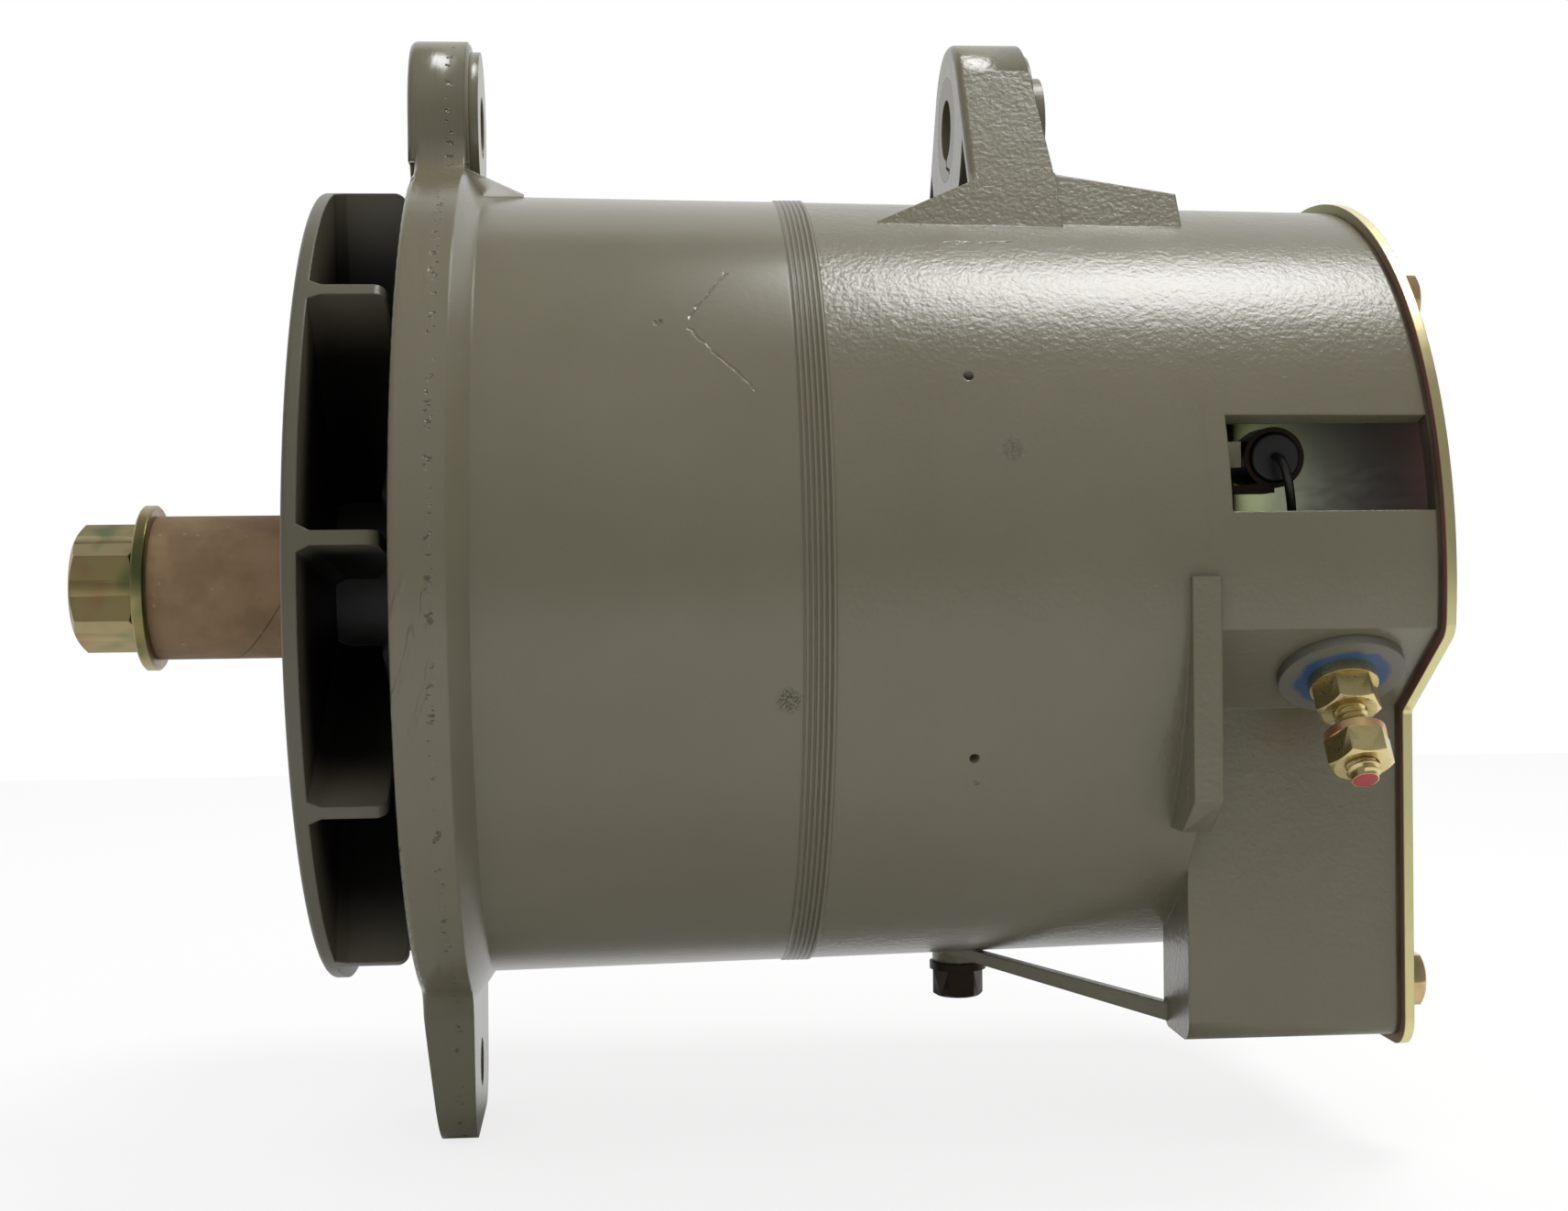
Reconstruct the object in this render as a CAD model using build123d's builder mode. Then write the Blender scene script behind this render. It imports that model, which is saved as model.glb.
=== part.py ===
from build123d import *
from math import cos, hypot, radians, sin, sqrt
import os

os.makedirs("parts", exist_ok=True)

# Heavy-duty brushless alternator on a hinge mount, in millimetres.
# The shaft lies along X. The origin is on its axis at the pulley seat, +X runs to the
# cover, +Z to the hinge lugs, and -Y to the side with the output stud.

# Clearances and details that all nuts and screws share
seat_gap = 0.02       # between pieces that are pressed or clamped together
running_gap = 0.05    # between pieces that turn or slide in each other
air_gap = 0.8         # between rotor and stationary iron
hole_gap = 0.3        # round a screw or a stud that passes through
corner_share = 0.95   # of a hexagon's width, where its corners start to turn down
corner_angle = 60.0   # of the turned corners

# Fan: a flat disc in front with plain radial blades behind it
fan_radius = 83.6
fan_disc = 2.9
fan_depth = 17.4
fan_hub_radius = 27.0
blade_count = 10
blade_thickness = 2.7
blade_root_flare = 1.2
blade_tip_round = 2.5
blade_root_depth = 11.0
blade_first_angle = 6.0

# Drive-end casting
fan_to_flange = 2.0
flange_thickness = 10.4
flange_slope = 3.8
flange_step = 6.5
body_radius = 82.0
drum_taper = 1.0
front_casting_length = 74.8
body_wall = 5.5
front_wall = 7.0
window_rim = 3.0
front_window_margin = 13.0
window_count = 6
window_spoke = 13.0
flash_round = 1.2

# Rear casting
rear_casting_length = 119.9
drum_draft = 2.2
partition_wall = 6.0
rear_chamber_depth = 41.0
rear_wall = 5.0

# Hinge lugs and adjusting ear
hinge_rise = 10.5
hinge_hole_radius = 6.55
lug_radius = 18.2
lug_forward = 1.6
lug_thickness = 12.7
lug_boss_radius = 16.0
lug_boss_height = 1.9
lug_root_fillet = 9.0
lug_gusset_length = 12.0
lug_gusset_drop = 1.5
hinge_pad_gap = 101.6
rear_lug_thickness = 14.8
rear_lug_draft = 3.2
rear_lug_base = 38.0
saddle_ramp_front = 21.0
saddle_ramp_rear = 25.0
saddle_drop = 9.4
saddle_step = 1.4
saddle_edge = 1.0
lug_edge_round = 1.5
pocket_depth = 8.0
pocket_wall = 3.0
pocket_eye = 22.6
ear_length = 28.3
ear_half_root = 31.0
ear_half_tip = 23.0
ear_tip_round = 10.0
ear_lean = 3.0
ear_hole_radius = 5.2
ear_hole_edge = 12.8

# Split bushing in the rear lug
bushing_radius = 11.25
bushing_bore = 6.5
bushing_length = 20.0
bushing_slit = 0.7
slit_outer_shift = 4.0
slit_inner_shift = 4.7
slit_step_radius = 9.6
slit_step_rise = 1.3

# Terminal side of the rear casting
shelf_top = -10.2
shelf_foot = -26.2
recess_depth = 23.8
corner_width = 20.0
corner_drop = 12.5
corner_front_back = 42.2
corner_round = 4.0
shelf_round = 3.0
guard_thickness = 5.5
guard_proud = 0.2
guard_length = 42.0
guard_bevel = 6.5
guard_bevel_run = 9.2
pedestal_top = 16.0
pedestal_depth = 10.0
pedestal_reach = 17.0
pedestal_length = 9.9
partition_ring = 22.0
recess_window = 3
side_window_low = 12.0
side_window_high = 29.0
side_window_flare = 4.5
side_window_length = 39.2
tab_height = 4.8
tab_length = 2.6
brace_width = 5.0
brace_thick_front = 2.4
brace_thick_rear = 3.8
brace_front_angle = 98.5
rivet_hole_radius = 1.0
rivet_hole_depth = 4.0
rivet_from_parting = 32.4
rivet_upper_angle = 28.0
rivet_lower_angle = 24.5

# Cover plate and its screws
gasket_thickness = 0.8
gasket_width = 4.0
cover_thickness = 2.0
cover_overhang = 1.9
cover_screw_inset = 7.8
cover_screw_angles = (50.0, 128.0, 222.0)
cover_screw_radius = 3.0
cover_screw_flat = 10.0
cover_screw_flange = 6.8
cover_screw_head = 5.2
cover_flange_height = 1.4
cover_screw_length = 9.0
cover_boss_radius = 6.5

# Shaft, sleeve, washer and nut
shaft_radius = 11.1
thread_radius = 7.9
sleeve_length = 37.6
sleeve_radius = 15.4
washer_radius = 17.75
washer_thickness = 2.8
washer_chamfer = 0.4
nut_flats = 23.8
nut_height = 14.0
nut_washer_face = 2.2
nut_face_share = 0.96
nut_turn = 30.0
shaft_nose_chamfer = 1.0
thread_recess = 1.5
key_width = 4.8
key_height = 4.0
spacer_radius = 17.0

# Front ball bearing and its retainer
front_bore = 12.5
front_bearing_radius = 31.0
front_bearing_width = 17.0
front_bearing_lip = 3.0
front_ball_radius = 5.0
front_ball_count = 8
bearing_boss_wall = 7.0
retainer_thickness = 2.5
retainer_screw_count = 4
retainer_screw_offset = 3.5
retainer_screw_radius = 2.0
retainer_head_radius = 3.4
retainer_head_height = 2.4
retainer_screw_length = 9.0

# Rear roller bearing
rear_bore = 8.5
race_gap = 0.3
cage_half = 1.1
cage_rim = 1.0
rear_bearing_radius = 20.0
rear_bearing_width = 12.0
rear_roller_radius = 3.0
rear_roller_length = 8.0
rear_roller_count = 10
rear_boss_wall = 6.0

# Rotor and stationary field coil
rotor_start = 46.0
pole_disc = 13.0
pole_length = 58.0
pole_count = 6
pole_thickness = 9.0
pole_root_width = 29.0
pole_tip_width = 14.0
pole_tip_gap = 2.0
pole_edge = 1.0
rotor_hub_radius = 22.0
rear_pole_bore = 31.0
pole_ring_width = 10.0
pole_ring_thickness = 2.2
rotor_shaft_radius = 15.0
support_wall = 6.0
support_clear = 3.0
support_flange = 44.0
support_flange_thickness = 5.0
coil_clear = 4.7
coil_length = 44.0
coil_edge_round = 2.0
support_screw_count = 4
support_screw_radius = 2.5
support_screw_length = 9.0
support_head_radius = 4.2
support_head_height = 3.0

# Stator
stator_inset = 5.2
stator_thickness = 16.8
stator_length = 60.0
slot_count = 36
slot_width = 4.4
slot_depth = 9.5
winding_clearance = 0.25
end_turn_length = 12.0
end_turn_inset = 2.3
stator_shoulder = 4.0

# Through bolts
bolt_radius = 3.0
bolt_inset = 2.6
bolt_count = 4
bolt_first_angle = 45.0
bolt_head_radius = 5.4
bolt_head_height = 4.6
bolt_thread_depth = 14.0
bolt_boss_radius = 6.4

# Output stud
stud_radius = 3.175
stud_projection = 25.5
stud_from_rear = 15.0
stud_head_height = 4.2
insulator_radius = 12.15
insulator_thickness = 2.0
insulator_neck_radius = 4.6
stud_boss_radius = 8.1
stud_boss_depth = 10.0
stud_washer_radius = 6.6
stud_washer_thickness = 2.2
stud_nut_flats = 11.1
stud_nut_height = 5.5
stud_nut_space = 4.6
lock_washer_thickness = 1.8
lock_washer_gap = 0.8
tag_thickness = 1.0
stud_tip = 0.8

# Ground screw under the rear casting
ground_from_parting = 40.4
ground_boss_radius = 5.6
ground_boss_drop = 3.2
ground_washer_radius = 6.2
ground_washer_thickness = 1.6
ground_screw_flats = 9.6
ground_screw_head = 6.0
ground_screw_radius = 2.5
ground_screw_length = 6.0

# Parts in the rear chamber
post_radius = 5.0
post_height = 10.0
post_screw_radius = 2.0
sink_post_inset = 18.0
sink_post_angles = (-60.0, -120.0)
sink_post_high = 22.0
regulator_post_inset = 24.8
regulator_post_angles = (60.0, 120.0)
heat_sink_side = 17.0
heat_sink_height = 40.0
heat_sink_base = 4.0
heat_sink_fins = 6
heat_sink_pitch = 8.0
heat_sink_fin_height = 8.0
heat_sink_fin = 2.0
heat_sink_inset = 41.8
diode_radius = 6.3
diode_height = 7.0
diode_edge = 1.0
diode_count = 6
diode_pitch = 18.0
diode_row = 19.0
diode_pin_radius = 0.8
regulator_width = 46.0
regulator_height = 20.0
regulator_depth = 16.0
regulator_inset = 27.8
capacitor_radius = 4.9
capacitor_length = 20.0
capacitor_height = 22.8
capacitor_inset = 13.8
capacitor_from_window = 12.4
capacitor_edge = 0.8
clip_thickness = 1.0
clip_width = 8.0
lead_radius = 0.9
lead_sideways = 2.4
lead_outwards = 2.2
tag_radius = 5.5
tag_reach = 10.4
tag_width = 3.0

# Seams where a casting is cut into nodes
eye_seam_drop = 4.5  # below the flange's edge
wall_seam = 2.0  # past a wall's face
brace_seam = 0.5  # before the square corner

# Radii and places across the shaft, worked out from the sizes above
flange_radius = body_radius + flange_step
front_radius = body_radius + drum_taper
rear_radius = body_radius - drum_draft
front_boss_radius = front_bearing_radius + bearing_boss_wall
rear_boss_radius = rear_bearing_radius + rear_boss_wall
front_window_inner = front_boss_radius + window_rim
front_window_outer = body_radius - front_window_margin
window_ring = rear_boss_radius + partition_ring
hinge_height = flange_radius + hinge_rise
ear_reach = flange_radius + ear_length
ear_hole_height = ear_reach - ear_hole_edge
recess_wall = rear_radius - recess_depth
corner_depth = rear_radius + corner_drop
guard_face = body_radius + guard_proud
cover_screw_circle = rear_radius - cover_screw_inset
retainer_circle = front_bearing_radius + retainer_screw_offset
stator_radius = body_radius - stator_inset
stator_bore = stator_radius - stator_thickness
bolt_circle = stator_radius - bolt_inset
rotor_radius = stator_bore - air_gap
finger_floor = rotor_radius - pole_thickness
coil_radius = finger_floor - coil_clear
sink_post_circle = rear_radius - sink_post_inset
regulator_post_circle = rear_radius - regulator_post_inset
heat_sink_width = 2 * (recess_wall - heat_sink_side)
heat_sink_centre = heat_sink_inset - rear_radius
regulator_centre = rear_radius - regulator_inset
capacitor_reach = rear_radius - capacitor_inset

# Stations along the shaft, worked out from the sizes above
flange_front = fan_depth + fan_to_flange
flange_rear = flange_front + flange_thickness
front_wall_rear = flange_front + front_wall
parting = flange_front + front_casting_length
rear_end = parting + rear_casting_length
partition_rear = rear_end - rear_chamber_depth
partition_front = partition_rear - partition_wall
cover_front = rear_end + gasket_thickness
cover_back = cover_front + cover_thickness
lug_front = flange_front - lug_forward
lug_rear = lug_front + lug_thickness
lug_pad = lug_rear + lug_boss_height
rear_lug_front = lug_pad + hinge_pad_gap
rear_lug_back = rear_lug_front + rear_lug_thickness
front_bearing_start = flange_front + front_bearing_lip
front_bearing_end = front_bearing_start + front_bearing_width
front_bearing_mid = front_bearing_start + front_bearing_width / 2
rear_bearing_end = partition_rear - partition_wall / 2
rear_bearing_start = rear_bearing_end - rear_bearing_width
rear_bearing_mid = rear_bearing_start + rear_bearing_width / 2
pole_front = rotor_start + pole_disc
pole_rear = pole_front + pole_length
rotor_end = pole_rear + pole_disc
rotor_middle = (pole_front + pole_rear) / 2
stator_start = rotor_middle - stator_length / 2
stator_end = rotor_middle + stator_length / 2
guard_rear = rear_end - corner_front_back
guard_front = guard_rear - guard_thickness
window_front = rear_end - side_window_length
ground_station = parting + ground_from_parting
support_inner = rotor_hub_radius + air_gap
support_outer = support_inner + support_wall
support_neck = rotor_end + support_clear
support_sleeve_radius = rear_boss_radius + support_wall
support_circle = (support_flange + support_sleeve_radius) / 2
drum_slope = (body_radius - rear_radius) / rear_casting_length
shelf_edge = -sqrt(rear_radius**2 - shelf_top**2)


def round_wall(start, end, outer, inner=0.0, mode=Mode.ADD):
    """Add or cut a round wall about the shaft, from one station to another."""
    with BuildSketch(Plane.YZ.offset(start)) as wall:
        Circle(outer)
        if inner > 0:
            Circle(inner, mode=Mode.SUBTRACT)
    extrude(wall.sketch, amount=end - start, mode=mode)


def place(radius, angle):
    """Y and Z of a point at an angle from +Y towards +Z."""
    return (radius * cos(radians(angle)), radius * sin(radians(angle)))


def near_side(angle):
    """Turn an angle above the -Y side into one from +Y."""
    return 180.0 - angle


def casting_radius(station):
    """Outside radius of the tapering rear casting at a station."""
    return body_radius - drum_slope * (station - parting)


def air_windows(station, depth, inner, outer, closed=()):
    """Cut the air windows between the spokes of an end wall, but for those kept closed."""
    step = 360 / window_count
    with BuildSketch(Plane.YZ.offset(station)) as windows:
        Circle(outer)
        Circle(inner, mode=Mode.SUBTRACT)
        for number in range(window_count):
            with Locations(Rotation(0, 0, step * number)):
                Rectangle(2 * outer, window_spoke, align=(Align.MIN, Align.CENTER),
                          mode=Mode.SUBTRACT)
        for number in closed:
            with BuildLine():
                Polyline((0, 0), place(2 * outer, step * number), place(2 * outer, step * (number + 1)),
                         close=True)
            make_face(mode=Mode.SUBTRACT)
        fillet(windows.vertices(), radius=min(window_spoke, outer - inner) / 3)
    extrude(windows.sketch, amount=depth, mode=Mode.SUBTRACT)


def rear_outline(grow=0.0):
    """Outline of the rear casting's end: round, with a shelf and a square lower corner."""
    reach = 2 * rear_radius
    with BuildSketch(Plane.XY) as outline:
        Circle(rear_radius)
        with Locations((-recess_wall, -corner_depth)):
            Rectangle(corner_width, corner_depth, align=(Align.MIN, Align.MIN))
        with BuildLine():
            Polyline(
                (shelf_edge, shelf_top),
                (-recess_wall, shelf_foot),
                (-recess_wall, -reach),
                (-reach, -reach),
                (-reach, shelf_top),
                close=True,
            )
        make_face(mode=Mode.SUBTRACT)
        fillet(outline.vertices().sort_by(Axis.Y)[0:2], radius=corner_round)
        fillet(outline.vertices().sort_by_distance((-recess_wall, shelf_foot))[0], radius=shelf_round)
        fillet(outline.vertices().sort_by_distance((shelf_edge, shelf_top))[0], radius=shelf_round)
        if grow != 0:
            offset(amount=grow)
    return outline.sketch


def bolt_places(circle, count, first):
    """Y and Z of evenly spaced screws on a circle."""
    return [place(circle, first + 360 / count * number) for number in range(count)]


def facing_rear(station, spots):
    """Planes at a station, at places across the shaft, that face the cover."""
    return [Plane(origin=(station, *spot), x_dir=(0, 1, 0), z_dir=(1, 0, 0)) for spot in spots]


def facing_front(station, spots):
    """Planes at a station, at places across the shaft, that face the pulley."""
    return [Plane(origin=(station, *spot), x_dir=(0, 1, 0), z_dir=(-1, 0, 0)) for spot in spots]


# Places of the screws across the shaft
bolts_at = bolt_places(bolt_circle, bolt_count, bolt_first_angle)
retainer_screws_at = bolt_places(retainer_circle, retainer_screw_count, bolt_first_angle)
support_screws_at = bolt_places(support_circle, support_screw_count, bolt_first_angle)

# Fan blade: a radial web that is deepest at its tip, with a flared foot on the disc
blade_start = fan_hub_radius - blade_thickness
with BuildPart() as fan_blade:
    with BuildSketch(Plane.XZ):
        with BuildLine():
            Polyline(
                (fan_disc / 2, blade_start),
                (blade_root_depth, blade_start),
                (fan_depth, (fan_radius + fan_hub_radius) / 2),
                (fan_depth, fan_radius),
                (fan_disc / 2, fan_radius),
                close=True,
            )
        make_face()
    extrude(amount=blade_thickness / 2, both=True)
    fillet(fan_blade.edges().filter_by(Axis.Y).sort_by(Axis.Z)[-1:], radius=blade_tip_round)
    with BuildSketch(Plane.XY.offset(blade_start)):
        with BuildLine():
            Polyline(
                (fan_disc / 2, -blade_thickness / 2 - blade_root_flare),
                (fan_disc, -blade_thickness / 2 - blade_root_flare),
                (fan_disc + 2 * blade_root_flare, -blade_thickness / 2),
                (fan_disc + 2 * blade_root_flare, blade_thickness / 2),
                (fan_disc, blade_thickness / 2 + blade_root_flare),
                (fan_disc / 2, blade_thickness / 2 + blade_root_flare),
                close=True,
            )
        make_face()
    extrude(amount=fan_radius - blade_start)

# Fan casting
with BuildPart() as fan:
    round_wall(0, fan_disc, fan_radius)
    round_wall(0, fan_depth, fan_hub_radius)
    for number in range(blade_count):
        blade_angle = near_side(blade_first_angle) - 90 + 360 / blade_count * number
        add(fan_blade.part.rotate(Axis.X, blade_angle))
    round_wall(0, fan_depth, fan_radius, mode=Mode.INTERSECT)
    round_wall(0, fan_depth, shaft_radius + seat_gap, mode=Mode.SUBTRACT)
    with BuildSketch(Plane.YZ):
        with Locations((0, shaft_radius)):
            Rectangle(key_width + 2 * seat_gap, key_height + 2 * seat_gap)
    extrude(amount=fan_depth, mode=Mode.SUBTRACT)
    fillet(fan.edges().filter_by(GeomType.CIRCLE).group_by(Axis.X)[0].sort_by(SortBy.RADIUS)[-1:],
           radius=fan_disc / 3)
fan.part.label = "fan"
export_step(fan.part, "parts/fan.step")

# Key that drives the fan
with BuildPart() as fan_key:
    with BuildSketch(Plane.YZ):
        with Locations((0, shaft_radius)):
            Rectangle(key_width, key_height)
    extrude(amount=fan_depth)
fan_key.part.label = "fan_key"
export_step(fan_key.part, "parts/fan_key.step")

# Shaft: threaded nose, pulley seat, front bearing seat, rotor seat, rear bearing seat
washer_front = -sleeve_length - washer_thickness
shaft_nose = washer_front - nut_height + thread_recess
shaft_tail = rear_bearing_end - running_gap
with BuildPart() as shaft:
    with BuildSketch(Plane.XZ):
        with BuildLine():
            Polyline(
                (shaft_nose, 0),
                (shaft_nose, thread_radius - shaft_nose_chamfer),
                (shaft_nose + shaft_nose_chamfer, thread_radius),
                (-sleeve_length, thread_radius),
                (-sleeve_length, shaft_radius),
                (fan_depth, shaft_radius),
                (fan_depth, front_bore),
                (front_bearing_end, front_bore),
                (front_bearing_end, rotor_shaft_radius),
                (rotor_end, rotor_shaft_radius),
                (rotor_end, front_bore),
                (rear_bearing_start, front_bore),
                (rear_bearing_start, rear_bore),
                (shaft_tail, rear_bore),
                (shaft_tail, 0),
                close=True,
            )
        make_face()
    revolve(axis=Axis.X)
    with BuildSketch(Plane.YZ):
        with Locations((0, shaft_radius)):
            Rectangle(key_width + 2 * seat_gap, key_height + 2 * seat_gap)
    extrude(amount=fan_depth, mode=Mode.SUBTRACT)
shaft.part.label = "shaft"
export_step(shaft.part, "parts/shaft.step")

# Cardboard sleeve that keeps the pulley seat clean until a pulley is fitted
with BuildPart() as shaft_sleeve:
    round_wall(-sleeve_length, -seat_gap, sleeve_radius, shaft_radius + hole_gap)
shaft_sleeve.part.label = "shaft_sleeve"
export_step(shaft_sleeve.part, "parts/shaft_sleeve.step")

# Plain washer under the shaft nut
with BuildPart() as shaft_washer:
    round_wall(washer_front, -sleeve_length, washer_radius, thread_radius + hole_gap)
    chamfer(shaft_washer.edges().filter_by(GeomType.CIRCLE).sort_by(SortBy.RADIUS)[-2:],
            length=washer_chamfer)
shaft_washer.part.label = "shaft_washer"
export_step(shaft_washer.part, "parts/shaft_washer.step")


def hexagon(plane, flats, height, bore=0.0, turn=0.0, both_ends=False):
    """Return a hexagonal nut or head on a plane, with the corners of its free end turned down."""
    with BuildPart() as block:
        with BuildSketch(plane):
            RegularPolygon(radius=flats / 2, side_count=6, major_radius=False, rotation=turn)
        extrude(amount=height)
        with BuildSketch(-plane.offset(height)):
            Circle(flats / 2 * corner_share)
        extrude(amount=height, taper=-corner_angle, mode=Mode.INTERSECT)
        if both_ends:
            with BuildSketch(plane):
                Circle(flats / 2 * corner_share)
            extrude(amount=height, taper=-corner_angle, mode=Mode.INTERSECT)
        if bore > 0:
            with BuildSketch(plane):
                Circle(bore)
            extrude(amount=height, mode=Mode.SUBTRACT)
    return block.part


# Shaft nut with a washer face, one flat square to the -Y side
nut_base = Plane(origin=(washer_front, 0, 0), x_dir=(0, 1, 0), z_dir=(-1, 0, 0))
nut_body = hexagon(nut_base, nut_flats, nut_height, thread_radius + seat_gap, nut_turn, both_ends=True)
with BuildPart() as shaft_nut:
    add(nut_body)
    round_wall(washer_front - nut_washer_face, washer_front, nut_flats / 2 * nut_face_share,
               thread_radius + seat_gap)
shaft_nut.part.label = "shaft_nut"
export_step(shaft_nut.part, "parts/shaft_nut.step")

# Spacer between the fan and the front bearing
with BuildPart() as bearing_spacer:
    round_wall(fan_depth, front_bearing_start, spacer_radius, front_bore + seat_gap)
bearing_spacer.part.label = "bearing_spacer"
export_step(bearing_spacer.part, "parts/bearing_spacer.step")

# Seams of the castings: reach of the cutting blocks, and the ring inside which the drum isn't cut
seam_reach = 3 * body_radius
seam_ring = (front_window_outer + front_boss_radius) / 2


def above(height, mode):
    """Keep or take away all that is above a height."""
    with Locations((0, 0, height)):
        Box(2 * seam_reach, 2 * seam_reach, seam_reach, align=(Align.CENTER, Align.CENTER, Align.MIN), mode=mode)


def below(height, mode):
    """Keep or take away all that is below a height."""
    with Locations((0, 0, height)):
        Box(2 * seam_reach, 2 * seam_reach, seam_reach, align=(Align.CENTER, Align.CENTER, Align.MAX), mode=mode)


# Outline of the drive-end flange with its hinge lug and adjusting ear
with BuildSketch(Plane.YZ.offset(flange_front)) as flange_outline:
    Circle(flange_radius)
    with Locations((0, hinge_height)):
        Circle(lug_radius)
    with Locations((0, hinge_height / 2)):
        Rectangle(2 * lug_radius, hinge_height / 2, align=(Align.CENTER, Align.MIN))
    with BuildLine():
        Polyline(
            (-ear_half_root, -flange_radius / 2),
            (-ear_half_tip, -ear_reach),
            (ear_half_tip, -ear_reach),
            (ear_half_root, -flange_radius / 2),
            close=True,
        )
    make_face()
    fillet(flange_outline.vertices().sort_by(Axis.Y)[0:2], radius=ear_tip_round)
    fillet(
        [corner for corner in flange_outline.vertices()
         if abs(hypot(corner.X, corner.Y) - flange_radius) < seat_gap and abs(corner.Y) > flange_radius / 2],
        radius=lug_root_fillet,
    )

# Front hinge lug, a round eye that stands a little proud of the flange
with BuildPart() as front_lug:
    with BuildSketch(Plane.YZ.offset(lug_front)):
        with Locations((0, hinge_height)):
            Circle(lug_radius)
        with Locations((0, flange_radius)):
            Rectangle(2 * lug_radius, hinge_height - flange_radius, align=(Align.CENTER, Align.MIN))
    extrude(amount=lug_thickness)
    fillet(front_lug.edges().filter_by(GeomType.CIRCLE), radius=lug_edge_round)

# Drive-end casting: flange and drum, end wall with air windows, bearing boss, lug and ear
with BuildPart() as front_casting:
    with BuildSketch(Plane.XZ):
        with BuildLine():
            Polyline(
                (flange_front, 0),
                (flange_front, flange_radius),
                (flange_rear, flange_radius),
                (flange_rear + flange_slope, front_radius),
                (parting, body_radius),
                (parting, 0),
                close=True,
            )
        make_face()
    revolve(axis=Axis.X)
    extrude(flange_outline.sketch, amount=flange_thickness)
    fillet(front_casting.edges().filter_by(GeomType.CIRCLE).group_by(Axis.X)[0]
           .filter_by(lambda edge: abs(edge.radius - flange_radius) < seat_gap), radius=flash_round)
    add(front_lug.part)
    with BuildSketch(Plane.YZ.offset(lug_rear)):
        with Locations((0, hinge_height)):
            Circle(lug_boss_radius)
    extrude(amount=lug_boss_height)
    with BuildSketch(Plane.XZ.offset(-lug_radius)):
        with BuildLine():
            Polyline(
                (flange_front + lug_forward, front_radius / 2),
                (flange_front + lug_forward, flange_radius - lug_gusset_drop),
                (flange_rear, flange_radius - lug_gusset_drop),
                (flange_rear + lug_gusset_length, front_radius - lug_gusset_drop),
                (flange_rear + lug_gusset_length, front_radius / 2),
                close=True,
            )
        make_face()
    extrude(amount=2 * lug_radius)
    with BuildSketch(Plane.XZ.offset(-ear_half_root)):
        with BuildLine():
            Polyline(
                (flange_front, -flange_radius),
                (flange_front + ear_lean, -ear_reach),
                (flange_front, -ear_reach),
                close=True,
            )
        make_face()
    extrude(amount=2 * ear_half_root, mode=Mode.SUBTRACT)
    round_wall(front_wall_rear, parting, body_radius - body_wall, mode=Mode.SUBTRACT)
    round_wall(stator_start - stator_shoulder, stator_start, body_radius - body_wall + seat_gap,
               stator_radius - stator_shoulder)
    round_wall(stator_start, parting, stator_radius + seat_gap, mode=Mode.SUBTRACT)
    air_windows(flange_front, front_wall, front_window_inner, front_window_outer)
    round_wall(flange_front, front_bearing_end, front_boss_radius)
    round_wall(flange_front, front_bearing_start, front_bearing_radius - front_bearing_lip,
               mode=Mode.SUBTRACT)
    round_wall(front_bearing_start, front_bearing_end, front_bearing_radius + seat_gap,
               mode=Mode.SUBTRACT)
    with Locations(Plane(origin=(lug_pad, 0, hinge_height), z_dir=(1, 0, 0))):
        Hole(radius=hinge_hole_radius, depth=lug_pad - lug_front)
    with Locations(Plane(origin=(flange_rear, 0, -ear_hole_height), z_dir=(1, 0, 0))):
        Hole(radius=ear_hole_radius, depth=flange_thickness)
    with Locations(facing_front(flange_front, bolts_at)):
        CounterBoreHole(radius=bolt_radius + hole_gap, counter_bore_radius=bolt_head_radius + hole_gap,
                        counter_bore_depth=bolt_head_height, depth=front_casting_length)
    with Locations(facing_rear(front_bearing_end, retainer_screws_at)):
        Hole(radius=retainer_screw_radius + seat_gap, depth=retainer_screw_length)

# The front casting goes out as four nodes, cut clear of its faces: eye, ear, drum and end wall
front_eye_seam = flange_radius - eye_seam_drop
front_drum_seam = front_wall_rear + wall_seam
with BuildPart() as drive_end_lug:
    add(front_casting.part)
    above(front_eye_seam, Mode.INTERSECT)
drive_end_lug.part.label = "drive_end_lug"
export_step(drive_end_lug.part, "parts/drive_end_lug.step")

with BuildPart() as drive_end_ear:
    add(front_casting.part)
    below(-front_eye_seam, Mode.INTERSECT)
drive_end_ear.part.label = "drive_end_ear"
export_step(drive_end_ear.part, "parts/drive_end_ear.step")

with BuildPart() as drive_end_drum:
    add(front_casting.part)
    round_wall(front_drum_seam, parting, seam_reach, seam_ring, mode=Mode.INTERSECT)
    above(front_eye_seam, Mode.SUBTRACT)
    below(-front_eye_seam, Mode.SUBTRACT)
drive_end_drum.part.label = "drive_end_drum"
export_step(drive_end_drum.part, "parts/drive_end_drum.step")

with BuildPart() as drive_end_frame:
    add(front_casting.part)
    above(front_eye_seam, Mode.SUBTRACT)
    below(-front_eye_seam, Mode.SUBTRACT)
    round_wall(front_drum_seam, parting, seam_reach, seam_ring, mode=Mode.SUBTRACT)
drive_end_frame.part.label = "drive_end_frame"
export_step(drive_end_frame.part, "parts/drive_end_frame.step")

# Rear hinge lug, drawn as one block: the lug over a saddle with a ramp before and behind it
saddle_top = casting_radius(rear_lug_front)
saddle_low = hinge_height - saddle_drop - lug_radius


def saddle_outline(shrink=0.0):
    """Outline of the lug across the shaft: a round eye on flanks that spread down to the drum."""
    with BuildSketch(Plane.XY) as flanks:
        with Locations((0, hinge_height)):
            Circle(lug_radius - shrink)
        with Locations((0, saddle_low)):
            Rectangle(2 * (rear_lug_base - shrink), saddle_edge)
        make_hull()
    return flanks.sketch


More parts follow.
